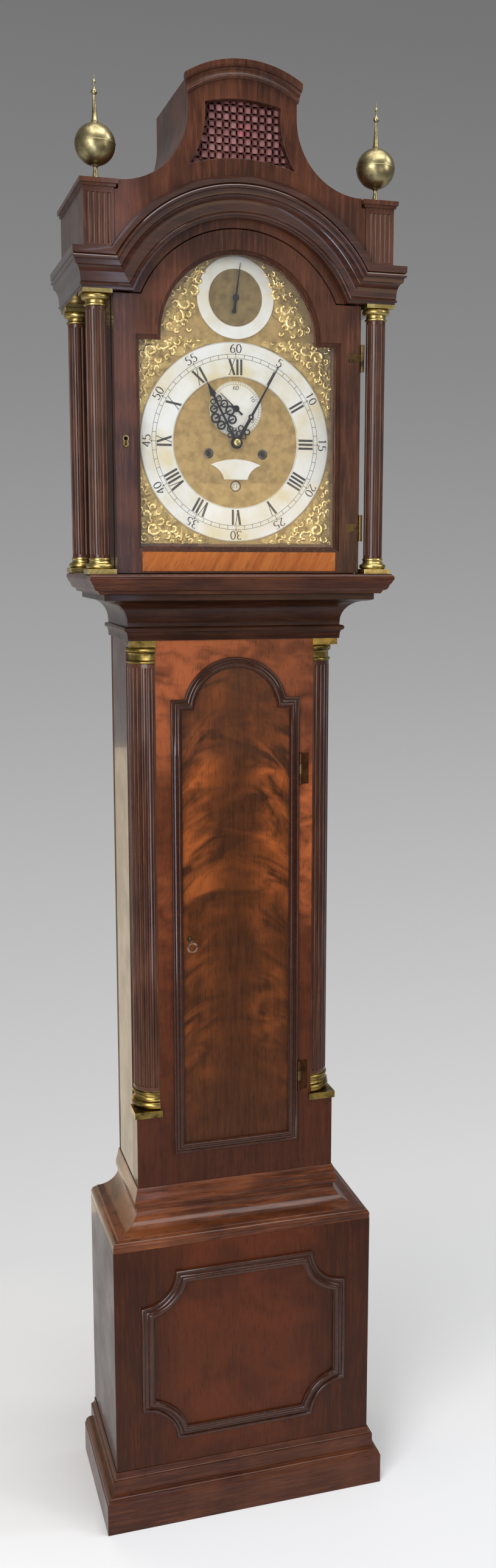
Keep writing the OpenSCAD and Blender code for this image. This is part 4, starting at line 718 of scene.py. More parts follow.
def engraved(path: np.ndarray, width: np.ndarray, front_mm: float,
             sunk_mm: float = 0.5) -> Surface:
    """A flat stroke: the path moved half its width to each side, and thickened.

    Args:
        path: rows of X and Z in mm.
        width: the stroke's width at each point of the path, in mm.
        front_mm: depth from the wall of its face.
        sunk_mm: how far it goes in.

    Returns:
        Points and quads of a closed bar.
    """
    side = sideways(path) * width[:, None] / 2
    left, right = path + side, path - side
    corners = np.stack([left, right, right, left], axis=1) / 1000
    y = np.array([row_y(front_mm)] * 2 + [row_y(front_mm - sunk_mm)] * 2)
    points = np.stack([corners[..., 0], np.broadcast_to(y, corners.shape[:2]), corners[..., 1]],
                      axis=2).reshape(-1, 3)
    count = len(path)
    caps = np.array([[3, 2, 1, 0], [4 * count - 4, 4 * count - 3, 4 * count - 2, 4 * count - 1]])
    return points, np.concatenate([grid_faces(count, 4, True), caps])


def scroll(path: np.ndarray, radius: np.ndarray, depth_mm: float, sides: int = 8) -> Surface:
    """A cast scroll: a round section of changing radius carried along a flat path.

    Args:
        path: rows of X and Z in mm.
        radius: radius at each point in mm, 0 at both ends to close it.
        depth_mm: depth from the wall of its middle.
        sides: points round the section.

    Returns:
        Points and quads.
    """
    side = sideways(path)
    turn = np.linspace(0, 2 * np.pi, sides, endpoint=False)
    flat = path[:, None] + side[:, None] * (radius[:, None] * np.cos(turn))[..., None]
    y = row_y(depth_mm) - radius[:, None] * np.sin(turn) * 0.9 / 1000
    points = np.stack([flat[..., 0] / 1000, y, flat[..., 1] / 1000], axis=2)
    return points.reshape(-1, 3), grid_faces(len(path), sides, True)


def arc(x: float, z: float, rx: float, rz: float, start: float, end: float,
        count: int = 14) -> np.ndarray:
    """Points on an ellipse about a centre, from one angle to another in degrees."""
    turn = np.radians(np.linspace(start, end, count))
    return np.stack([x + rx * np.cos(turn), z + rz * np.sin(turn)], axis=1)


def joined(*points: tuple[float, float]) -> np.ndarray:
    """Points of a straight or broken line."""
    return np.array(points, dtype=float)


DIGITS = {
    "0": [arc(0.3, 0.5, 0.28, 0.5, 90, 450, 24)],
    "1": [joined((0.3, 0.0), (0.3, 1.0)), joined((0.14, 0.86), (0.3, 1.0))],
    "2": [arc(0.29, 0.72, 0.26, 0.28, 165, -38), joined((0.49, 0.55), (0.05, 0.03)),
          joined((0.03, 0.03), (0.6, 0.03))],
    "3": [arc(0.27, 0.76, 0.24, 0.24, 150, -90), arc(0.27, 0.26, 0.3, 0.26, 90, -150)],
    "4": [joined((0.44, 0.0), (0.44, 1.0)), joined((0.44, 1.0), (0.0, 0.3)),
          joined((0.0, 0.3), (0.62, 0.3))],
    "5": [joined((0.13, 0.97), (0.55, 0.97)), joined((0.13, 0.97), (0.1, 0.56)),
          arc(0.27, 0.3, 0.3, 0.3, 125, -150)],
    "6": [arc(0.31, 0.28, 0.27, 0.28, 0, 360, 24), arc(0.62, 0.3, 0.58, 0.7, 100, 180)],
    "7": [joined((0.03, 0.96), (0.6, 0.96)), joined((0.6, 0.96), (0.2, 0.0))],
    "8": [arc(0.3, 0.74, 0.21, 0.24, 0, 360, 24), arc(0.3, 0.26, 0.27, 0.26, 0, 360, 24)],
    "9": [arc(0.29, 0.72, 0.27, 0.28, 0, 360, 24), arc(-0.02, 0.7, 0.58, 0.7, -80, 0)],
}


class Numerals:
    """Strokes of numerals laid out round a centre, with their heads outwards."""

    PROUD_MM = 0.12  # how far the wax stands over the plate

    def __init__(self, centre: tuple[float, float], front_mm: float) -> None:
        """Starts with no strokes.

        Args:
            centre: X and Z of the centre in mm.
            front_mm: depth of the plate's face from the wall.
        """
        self.centre = np.array(centre)
        self.front_mm = front_mm + self.PROUD_MM
        self.shape = Shape()

    def stroke(self, path: np.ndarray, width: np.ndarray, turn: float, radius: float) -> None:
        """Lays one stroke, drawn upright about its own foot, at a turn clockwise from the top.

        Args:
            path: rows of X and Z in mm.
            width: width at each point in mm.
            turn: degrees clockwise from the top.
            radius: distance of the foot from the centre in mm.
        """
        a = math.radians(turn)
        lifted = path + np.array([0.0, radius])
        laid = lifted @ np.array([[math.cos(a), -math.sin(a)], [math.sin(a), math.cos(a)]])
        self.shape.add(engraved(laid + self.centre, width, self.front_mm))

    def ring(self, radius: float, width: float, count: int = 180) -> None:
        """An engraved circle."""
        self.stroke(arc(0, -radius, radius, radius, 90, 450, count), np.full(count, width), 0,
                    radius)

    def ticks(self, inner: float, outer: float, width: float, number: int) -> None:
        """Short radial lines.

        Args:
            inner: radius where they begin in mm.
            outer: radius where they end in mm.
            width: their width in mm.
            number: how many there are to the circle.
        """
        for i in range(number):
            self.stroke(joined((0, 0), (0, outer - inner)), np.full(2, width), 360 * i / number,
                        inner)

    def arabic(self, text: str, turn: float, foot: float, height: float, weight: float) -> None:
        """Figures in broad-pen strokes, thick where they run upright and thin across.

        Args:
            text: the figures.
            turn: degrees clockwise from the top.
            foot: distance of their foot from the centre in mm.
            height: their height in mm.
            weight: width of an upright stroke in mm.
        """
        step = 0.78 * height
        for i, figure in enumerate(text):
            shift = (i - (len(text) - 1) / 2) * step - 0.3 * height
            for path in DIGITS[figure]:
                fine = path if len(path) > 2 else np.linspace(path[0], path[1], 4)
                along = np.gradient(fine, axis=0)
                upright = np.abs(along[:, 1]) / np.maximum(np.linalg.norm(along, axis=1), 1e-9)
                self.stroke(fine * height + np.array([shift, 0.0]),
                            weight * (0.38 + 0.62 * upright), turn, foot)

    def roman(self, text: str, turn: float, foot: float, height: float) -> None:
        """An hour numeral with heavy and light strokes and short serifs.

        Args:
            text: the numeral's letters.
            turn: degrees clockwise from the top.
            foot: distance of its foot from the centre in mm.
            height: its height in mm.
        """
        heavy, light, serif, serif_half = 3.4, 1.1, 0.55, 1.9
        wide = {"I": 5.9, "V": 10.0, "X": 11.0}
        low, high = 0.4, height - 0.4
        x = -sum(wide[c] for c in text) / 2
        for c in text:
            w = wide[c]
            middle = x + w / 2
            lines = {"I": [((middle, low), (middle, high), heavy)],
                     "V": [((x + 1.6, high), (middle + 0.3, low), heavy),
                           ((x + w - 1.4, high), (middle + 0.3, low), light)],
                     "X": [((x + 1.6, high), (x + w - 1.8, low), heavy),
                           ((x + w - 1.5, high), (x + 1.5, low), light)]}[c]
            for start, end, width in lines:
                self.stroke(joined(start, end), np.full(2, width), turn, foot)
                for across, up in (start, end):
                    if c != "V" or up > height / 2:
                        self.stroke(joined((across - serif_half, up), (across + serif_half, up)),
                                    np.full(2, serif), turn, foot)
            x += w


# A section of the applied mouldings, across and up, as shares of their width and height:
# a bead, a quirk, a cove with its fillet, a larger bead and an inner step
BEADED = np.concatenate([
    joined((0, 0), (0, 0.4)), arc(0.12, 0.42, 0.12, 0.3, 180, 0, 9),
    joined((0.26, 0.36), (0.3, 0.36)), arc(0.28, 0.8, 0.24, 0.42, -80, 0, 8),
    joined((0.53, 0.86), (0.57, 0.86)), arc(0.745, 0.72, 0.165, 0.28, 170, 0, 11),
    joined((0.93, 0.5), (1.0, 0.46), (1.0, 0), (0, 0))])


@dataclass
class Case:
    """The base, the trunk with its door and the mouldings between them.

    door_mm and panel_mm hold a half width, a foot and a head; arch_mm a radius and its centre's
    height; lip_mm and bead_mm a moulding's width, its height and the depth of its ground.
    """

    edge_mm: float = 0.8
    door_mm: tuple[float, float, float] = (103.5, 609.5, 1346.0)
    arch_mm: tuple[float, float] = (84.1, 1325.5)
    lip_mm: tuple[float, float, float] = (16.5, 7.0, 165.3)
    hinges_mm: tuple[float, float] = (720.5, 1231.0)
    hinge_long_mm: float = 50.8
    hinge_notch_mm: float = 102.0
    panel_mm: tuple[float, float, float] = (172.0, 140.0, 434.0)
    hollow_mm: float = 57.0
    bead_mm: tuple[float, float, float] = (20.0, 8.0, 216.0)
    boards: dict[str, Finish] = field(default_factory=lambda: {
        "base_boards": BASE_WOOD, "trunk_sides": CASE_WOOD, "backboard": BACK_WOOD,
        "seatboard": BACK_WOOD, "trunk_front_frame": FRONT_WOOD, "trunk_door": FLAME_WOOD})
    mouldings: dict[str, Finish] = field(default_factory=lambda: {
        "plinth": MOULDING_WOOD, "waist_moulding": BRIGHT_MOULDING,
        "throat_moulding": THROAT_WOOD_PAINTED_SHADE})

    def build(self) -> None:
        """Dresses the woodwork, then the brasses and the fittings."""
        for node, finish in self.boards.items():
            dressed(node, finish, self.edge_mm)
        for node, finish in self.mouldings.items():
            dressed(node, finish, self.edge_mm * 0.75, 28)
        dressed("trunk_columns", FLUTED_WOOD, 0.3, 40)
        # The trunk columns' brasses take the darker brass as painted shade
        dressed("trunk_column_brasses", COLUMN_BRASS_PAINTED_SHADE, 0.4, 30)
        dressed("trunk_hinges", HINGE_BRASS, 0.2)
        dressed("trunk_door_fittings", DARK_BRASS, 0.2)
        dressed("trunk_door_key", PALE_STEEL, 0.3)
        for name, node, body, outline, (wide, tall, face) in (
                ("door_lip_beaded", "trunk_door_moulding", "trunk_door", self.door_edge,
                 self.lip_mm),
                ("panel_beading", "base_panel_moulding", "case", self.panel_edge, self.bead_mm)):
            ring = Shape().add(moulded(outline(BEADED[:, :1] * wide), face + BEADED[:, 1] * tall))
            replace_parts(ring.piece(name, body, BEAD_WOOD, 50), node)

    def door_edge(self, inset: np.ndarray) -> np.ndarray:
        """The door's outline: a foot, two sides, shoulders and the arc between them.

        Args:
            inset: one row for each step of a profile, in mm from the outer edge.

        Returns:
            X and Z of each step's points. The right side steps in beside the hinges.
        """
        half, foot, head = self.door_mm
        radius, centre = self.arch_mm
        rise = head - inset - centre
        swing = np.arctan2(rise, np.sqrt((radius - inset) ** 2 - rise ** 2))
        turn = np.pi - swing - (np.pi - 2 * swing) * np.linspace(0, 1, 65)
        reach = self.hinge_long_mm / 2
        stops = np.array([z + k for z in self.hinges_mm
                          for k in (-reach - 0.2, -reach, reach, reach + 0.2)])
        heights = np.concatenate([foot + inset, stops + 0 * inset, head - inset], axis=1)
        beside = np.abs(heights[..., None] - np.array(self.hinges_mm)).min(axis=2) < reach + 0.1
        right = np.where(beside, np.minimum(half - inset, self.hinge_notch_mm), half - inset)
        x = np.concatenate([inset - half + 0 * heights, (radius - inset) * np.cos(turn),
                            right[:, ::-1]], axis=1)
        z = np.concatenate([heights, centre + (radius - inset) * np.sin(turn), heights[:, ::-1]],
                           axis=1)
        return np.stack([x, z], axis=2)

    def panel_edge(self, inset: np.ndarray) -> np.ndarray:
        """The panel's outline: a rectangle whose corners are hollow arcs about the outer corners.

        Args:
            inset: one row for each step of a profile, in mm from the outer edge.

        Returns:
            X and Z of each step's points.
        """
        half, foot, head = self.panel_mm
        radius = self.hollow_mm + inset
        start = np.arcsin(inset / radius)
        turn = start + (np.pi / 2 - 2 * start) * np.linspace(1, 0, 17)
        across, down = radius * np.cos(turn), radius * np.sin(turn)
        x = np.concatenate([across - half, half - across[:, ::-1], half - across,
                            across[:, ::-1] - half], axis=1)
        z = np.concatenate([head - down, head - down[:, ::-1], foot + down, foot + down[:, ::-1]],
                           axis=1)
        return np.stack([x, z], axis=2)


@dataclass
class Hood:
    """The hood with its columns, cornice, pediment, fret and finials.

    The fret's opening lies between an arc at its head and one at its foot, each a centre's
    height and a radius, and two hollows, each a place across, a height and a radius.
    """

    edge_mm: float = 0.7
    finial_x_mm: float = 209.0
    finial_depth_mm: float = 193.5
    finial_foot_mm: float = 2080.7
    ball_mm: float = 28.5
    stem_mm: float = 22.5
    finial_mm: float = 142.0
    fret_pitch_mm: float = 10.6
    fret_low_mm: float = 2107.5
    fret_front_mm: float = 199.8
    fret_bar_mm: tuple[float, float] = (2.3, 2.4)
    fret_head_mm: tuple[float, float] = (1987.1, 221.0)
    fret_foot_mm: tuple[float, float] = (1870.1, 248.0)
    fret_hollow_mm: tuple[float, float, float] = (181.0, 2183.1, 120.0)
    fret_half_mm: float = 60.0
    silk_m: tuple[float, float] = (0.164, 0.103)
    silk_m2: float = 0.0119

    def build(self) -> None:
        """Dresses the woodwork and makes the finials."""
        dressed("hood_base_frame", MOULDING_WOOD, self.edge_mm, 28)
        dressed("hood_cornice", HOOD_MOULDING, self.edge_mm, 28)
        for node in ("hood_sides", "hood_mask", "pediment", "hood_roof"):
            dressed(node, HOOD_WOOD, self.edge_mm, 28)
        dressed("hood_columns", FLUTED_WOOD, 0.2, 40)
        dressed("finial_pedestals", FLUTED_WOOD, 0.6, 40)
        dressed("hood_column_brasses", BRIGHT_BRASS, 0.4, 30)
        dressed("fret_silk", SILK, 0.0)
        dressed("hood_hinges", DARK_BRASS, 0.2)
        self.fret()
        self.finials()

    def fret(self) -> None:
        """Large and small rings that touch, sawn from thin board, in the opening over the dial.

        A ring is a circle squared a little: its radius grows by a tenth towards its corners.
        """
        pitch, low = self.fret_pitch_mm, self.fret_low_mm
        width, thick = self.fret_bar_mm
        (head_z, head_r), (foot_z, foot_r) = self.fret_head_mm, self.fret_foot_mm
        hollow_x, hollow_z, hollow_r = self.fret_hollow_mm
        turn = np.radians(np.linspace(0, 360, 25))
        lattice = Shape()
        for row in range(10):
            for column in range(-6, 7):
                x, z = pitch * column, low + pitch * row
                if not (math.hypot(x, z - head_z) < head_r and math.hypot(x, z - foot_z) > foot_r
                        and math.hypot(abs(x) - hollow_x, z - hollow_z) > hollow_r
                        and (abs(x) < self.fret_half_mm or z < hollow_z)):
                    continue
                share = 0.54 if (row + column) % 2 else 0.44
                r = pitch * share * (1 + 0.1 * np.sin(2 * turn) ** 2)
                path = np.stack([x + r * np.cos(turn), z + r * np.sin(turn)], axis=1)
                lattice.add(engraved(path, np.full(25, width), self.fret_front_mm, thick))
        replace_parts(lattice.piece("fret_lattice", "hood", FRET_WOOD), "fret_panel")

    def finials(self) -> None:
        """Turned brass balls on a slender stem, with a spire, and the seam where halves meet."""
        r, stem, tall = self.ball_mm, self.stem_mm, self.finial_mm
        c = stem + r - 1.6
        profile = np.concatenate([
            joined((0, 0), (8, 0), (8, 1.6), (7.4, 2.2)), arc(10, 8, 6.2, 6.2, 250, 170, 8),
            joined((3.0, 14), (2.8, 17), (3.4, stem - 3), (5.6, stem - 1.6), (6.2, stem - 0.6)),
            arc(0, c, r, r, -76, -1.4, 40),
            joined((r + 0.45, c - 0.5), (r + 0.55, c + 0.5), (r + 0.3, c + 0.9)),
            arc(0, c, r, r, 2.2, 76, 40),
            joined((5.4, c + r + 0.6), (4.6, c + r + 1.2), (4.6, c + r + 2.6), (4, c + r + 3.4),
                   (1.7, tall - 28.8)),
            arc(0, tall - 24, 4.2, 4.2, -60, 60, 12), joined((1.2, tall - 19), (1.1, tall - 13.4)),
            arc(0, tall - 10.5, 2.4, 2.4, -60, 60, 10),
            joined((0.8, tall - 7.4), (0.6, tall - 4), (0, tall))])
        profile[:, 1] += self.finial_foot_mm
        pair = Shape()
        for x in (-self.finial_x_mm, self.finial_x_mm):
            pair.add(turned(profile, x, self.finial_depth_mm, 72, upright=True))
        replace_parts(pair.piece("finials_turned", "hood", OLD_BRASS, 50), "finials")


@dataclass
class HoodDoor:
    """The arched glazed door over the dial."""

    rail_mm: tuple[float, float, float] = (150.0, 1541.0, 1569.2)
    veneer_mm: tuple[float, float] = (198.25, 0.4)
    keyhole_mm: tuple[float, float] = (-172.5, DIAL_Z_MM)
    rim_mm: tuple[float, float, float] = (1.3, 199.2, 0.6)

    def build(self) -> None:
        """Dresses the frame, and lays the light veneer of its bottom rail."""
        dressed("hood_door", HOOD_WOOD, 0.6, 28)
        dressed("hood_door_glass", GLASS, 0.0)
        dressed("hood_door_fittings", DARK_BRASS, 0.2)
        self.rail()
        self.keyhole()

    def rail(self) -> None:
        """A sheet of slanted veneer on the face of the bottom rail."""
        half, foot, head = self.rail_mm
        path = joined((-half, (foot + head) / 2), (half, (foot + head) / 2))
        veneer = Shape().add(engraved(path, np.full(2, head - foot), *self.veneer_mm))
        veneer.piece("hood_door_rail_veneer", "hood_door", RAIL_WOOD)

    def keyhole(self) -> None:
        """A bright rim round the keyhole: a circle with a straight-sided tail below it."""
        x, z = self.keyhole_mm
        width, front, thick = self.rim_mm
        top = arc(x, z, 4.0, 4.0, -50, 230, 20)
        path = np.concatenate([
            top, joined((x - 3.2, z - 9), (x, z - 11.6), (x + 3.2, z - 9)), top[:1]])
        rim = Shape().add(engraved(path, np.full(len(path), width), front, thick))
        rim.piece("hood_door_keyhole_rim", "hood_door", BRIGHT_BRASS)


@dataclass
class Dial:
    """The brass dial with its silvered rings, engraving, spandrels and hands.

    A numeral's measures are the radius of its foot, its height and, for figures, the width of
    an upright stroke. A track's are its two radii.
    """

    z_mm: float = DIAL_Z_MM
    plate_mm: float = 168.0
    ring_mm: float = 170.0
    seconds_rise_mm: float = 49.7
    arch_rise_mm: float = 209.0
    date_drop_mm: float = 63.5
    arbor_mm: tuple[float, float] = (42.0, 16.0)
    hour_mm: tuple[float, float] = (98.4, 23.0)
    minute_mm: tuple[float, float, float] = (130.6, 12.2, 1.9)
    minute_track_mm: tuple[float, float] = (122.6, 128.4)
    edge_lines_mm: tuple[float, float] = (97.0, 145.2)
    second_mm: tuple[float, float, float] = (27.4, 6.0, 1.0)
    second_track_mm: tuple[float, float] = (35.6, 39.2)
    calendar_mm: float = 164.7
    arch_z_mm: float = 1878.1

    def build(self) -> None:
        """Dresses the plates, then cuts the figures and lays the scrolls."""
        dressed("dial_plate", MATTED_BRASS, 0.2)
        for node in ("chapter_ring", "dial_centre_plates", "strike_silent_ring", "calendar_ring"):
            dressed(node, SILVER, 0.25)
        # The spandrels' ground is dark brass as painted shade between the scrolls
        dressed("spandrels", SPANDREL_GROUND_PAINTED_SHADE, 0.4)
        self.arch_disc()
        self.hours()
        self.seconds()
        self.days()
        self.scrolls()
        self.bosses()
        for node in ("minute_hand", "hour_hand", "seconds_hand", "strike_silent_hand"):
            dressed(node, STEEL, 0.15)

    def arch_disc(self) -> None:
        """A matted disc inside the arch ring."""
        front = self.plate_mm + 0.15
        disc = Shape().add(turned(joined(*[(r, front) for r in (3.2, 12, 24, 40.8)]), 0,
                                  self.z_mm + self.arch_rise_mm, 96))
        disc.piece("arch_disc_matted", "case", ARCH_BRASS)

    def bosses(self) -> None:
        """The collet that holds the hands, the seconds hub, and the rims round the holes."""
        collet = np.concatenate([joined((0, 178.3), (5.6, 178.3)),
                                 arc(0, 178.4, 5.6, 2.8, 0, 66, 9),
                                 joined((2.0, 181.6), (1.6, 182.6), (0, 182.9))])
        hub = np.concatenate([joined((0, 172.5), (5.0, 172.5)), arc(0, 172.5, 5.0, 1.1, 0, 90, 7)])
        rim = joined((4.45, 168.2), (4.6, 169.1), (5.4, 169.4), (6.6, 169.2), (7.5, 168.6),
                     (7.5, 168.2), (4.45, 168.2))
        square = joined((0, 156.4), (3.62, 156.4), (3.55, 166.6), (3.0, 167.2), (0, 167.2))
        date = joined((6.6, 168.0), (6.7, 168.5), (8.0, 168.5), (8.4, 168.0), (6.6, 168.0))
        x, drop = self.arbor_mm
        z = self.z_mm - drop
        Shape().add(turned(collet, 0, self.z_mm)).piece(
            "hand_collet_turned", "minute", BRIGHT_BRASS)
        Shape().add(turned(hub, 0, self.z_mm + self.seconds_rise_mm)).piece(
            "seconds_hub_turned", "escape", STEEL)
        Shape().add(turned(rim, -x, z)).add(turned(rim, x, z)).piece(
            "winding_hole_rims", "case", WORN_STEEL)
        for at, body in ((x, "going_barrel"), (-x, "strike_barrel")):
            Shape().add(turned(square, at, z, 4, 45.0)).piece(
                "winding_square_" + body, body, STEEL, 20)
        Shape().add(turned(date, 0, self.z_mm - self.date_drop_mm)).piece(
            "date_rim", "case", DARK_BRASS)

    def hours(self) -> None:
        """Hour numerals, the boxed minute track and the minute figures on the chapter ring."""
        cut = Numerals((0, self.z_mm), self.ring_mm)
        hours = "XII I II III IIII V VI VII VIII IX X XI".split()
        for i, hour in enumerate(hours):
            cut.roman(hour, 30 * i, *self.hour_mm)
            cut.arabic(str(5 * i or 60), 30 * i, *self.minute_mm)
            cut.stroke(joined((0, 0), (0, 2.6)), np.array([2.2, 0.3]), 30 * i, 128.6)
        for radius, width in zip(self.minute_track_mm + self.edge_lines_mm,
                                 (0.6, 0.6, 0.35, 0.35)):
            cut.ring(radius, width)
        cut.ticks(*self.minute_track_mm, 0.7, 60)
        cut.shape.piece("chapter_ring_engraving", "case", WAX)

    def seconds(self) -> None:
        """The seconds circle, with a figure at every ten."""
        cut = Numerals((0, self.z_mm + self.seconds_rise_mm), self.ring_mm - 0.5)
        for i in range(6):
            cut.arabic(str(10 * i or 60), 60 * i, *self.second_mm)
        for radius, width in zip(self.second_track_mm, (0.35, 0.3)):
            cut.ring(radius, width, 120)
        cut.ticks(*self.second_track_mm, 0.4, 60)
        cut.shape.piece("seconds_engraving", "case", WAX)

    def days(self) -> None:
        """The days of the month on the ring behind the dial, one of which shows in its window."""
        cut = Numerals((0, self.z_mm), self.calendar_mm)
        for day in range(31):
            cut.arabic(str(day + 1), 180 + 360 * (day - 11) / 31, self.date_drop_mm - 3.0, 6.0, 0.8)
        cut.shape.piece("calendar_engraving", "calendar", WAX)

    def scrolls(self) -> None:
        """Cast rococo scrolls: spirals whose radius shrinks evenly with their turn."""
        cast = Shape()
        paired = [(139, 108, 8.5, 120, 420), (143, 88, 6, 90, 380), (127, 97, 6.5, 60, -240),
                  (146, 70, 4.4, 90, 360), (147, 56, 3, 90, 330), (133, 116, 4.5, 0, 300),
                  (137, 76, 4, -90, 200), (124, 141, 5, 200, -160), (119, 104, 5, -60, 230),
                  (147, 99, 3.4, 90, 400), (133, 92, 4.4, 120, -150), (138, 63, 2.8, 200, -90)]
        corner = [(128, 128, 11, 200, -260), (142, 142, 7, 225, 560), (116, 116, 6.5, 45, 360),
                  (148, 148, 3.2, 0, 300), (84, 148, 2.6, 40, 330), (148, 84, 2.6, 60, -240),
                  *paired, *[(z, x, r, 90 - start, 90 - end) for x, z, r, start, end in paired]]
        arch = [(88, 30, 11, 100, 430), (100, 18, 6, -90, 220), (76, 50, 10, 30, -300),
                (90, 48, 6.5, 0, 300), (64, 68, 9, 60, 400), (78, 68, 5.5, -30, -330),
                (55, 84, 7, 80, -250), (66, 84, 4.5, 0, 290), (48, 97, 4, 60, -240),
                (78, 22, 6, 180, -150), (104, 34, 4.5, 40, 360), (72, 34, 5, 90, 400),
                (112, 20, 5, 100, -200), (96, 62, 5, 30, 340), (86, 72, 4.6, 0, -280),
                (66, 46, 5, 60, 360), (74, 84, 4.4, 30, 330), (58, 98, 4, 120, -170),
                (44, 108, 3.4, 60, 340), (70, 14, 4.4, 30, -250), (90, 12, 4.4, 180, 470)]
        for quarter in range(4):
            a = math.pi / 2 * quarter
            turn = np.array([[math.cos(a), math.sin(a)], [-math.sin(a), math.cos(a)]])
            self.lay(cast, corner, turn, self.z_mm)
        for side in (-1, 1):
            self.lay(cast, arch, np.array([[side, 0], [0, 1]]), self.arch_z_mm)
        cast.piece("spandrel_scrolls", "case", CAST_BRASS, 60)

    def lay(self, cast: Shape, spirals: list, turn: np.ndarray, z_mm: float) -> None:
        """Lays spirals about a centre.

        Args:
            cast: gathers the scrolls.
            spirals: middle across, middle up, radius, first angle and last angle of each.
            turn: the matrix that turns or mirrors them.
            z_mm: height of the centre.
        """
        for x, z, r, start, end in spirals:
            share = np.linspace(0, 1, 30)
            angle = np.radians(start + (end - start) * share)
            shrink = r * (1 - 0.8 * share)
            path = np.stack([x + shrink * np.cos(angle), z + shrink * np.sin(angle)], axis=1)
            body = np.minimum(1, np.minimum(share, 1 - share) * 9) * (0.6 + 0.15 * r) * 1.3
            body *= 1 + 0.16 * np.sin(share * 40)
            cast.add(scroll(path @ turn + np.array([0, z_mm]), body, self.plate_mm + 1.9))


@dataclass
class Movement:
    """The eight-day movement, its pendulum and weights, which are seen with the hood off."""

    seatboard_mm: float = 1655.0
    pulley_mm: float = 1450.0

    def build(self) -> None:
        """Gives plates, wheels and weights their brass and the rest its steel."""
        for node in ("movement_frame", "going_barrel", "strike_barrel", "hour_wheel",
                     "minute_wheel", "pin_wheel", "centre_arbor", "third_arbor", "escape_arbor"):
            dressed(node, BRIGHT_BRASS, 0.15)
        dressed("pendulum", OLD_BRASS, 0.3)
        for node in ("going_weight", "strike_weight"):
            dressed(node, OLD_BRASS, 0.5)
        for node in ("pallet_arbor", "hammer"):
            dressed(node, WORN_STEEL, 0.2)
        dressed("bell", BRIGHT_BRASS, 0.2)
        dressed("gut_tails", GUT, 0.0)
        for train in ("going", "strike"):
            line = dressed(train + "_line", GUT, 0.0)
            line.parent = None
            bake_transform(line)


@dataclass(frozen=True)
class StudioPaper(Finish):
    """Graduated studio paper, seen at its own brightness on the wall and lit on the floor."""

    def surface(self, add: Callable) -> bpy.types.Node:
        """The paper's grey and its share of own light are painted on its points.

        Its back is clear, so that the clock can be looked at from behind the wall.

        Args:
            add: add_node on the material.

        Returns:
            The shader.
        """
        grey = add("Attribute", attribute_name="grey").outputs["Color"]
        glow = add("Attribute", attribute_name="glow").outputs["Fac"]
        ray = add("LightPath").outputs
        seen = add("Math", [ray["Is Camera Ray"], ray["Is Glossy Ray"]], operation="MAXIMUM")
        seen = add("Math", [seen, ray["Is Transmission Ray"]], operation="MAXIMUM")
        share = add("Math", [seen, glow], operation="MULTIPLY")
        front = add("MixShader", [share, add("BsdfDiffuse", [grey]), add("Emission", [grey])])
        behind = add("NewGeometry").outputs["Backfacing"]
        return add("MixShader", [behind, front, add("BsdfTransparent")])


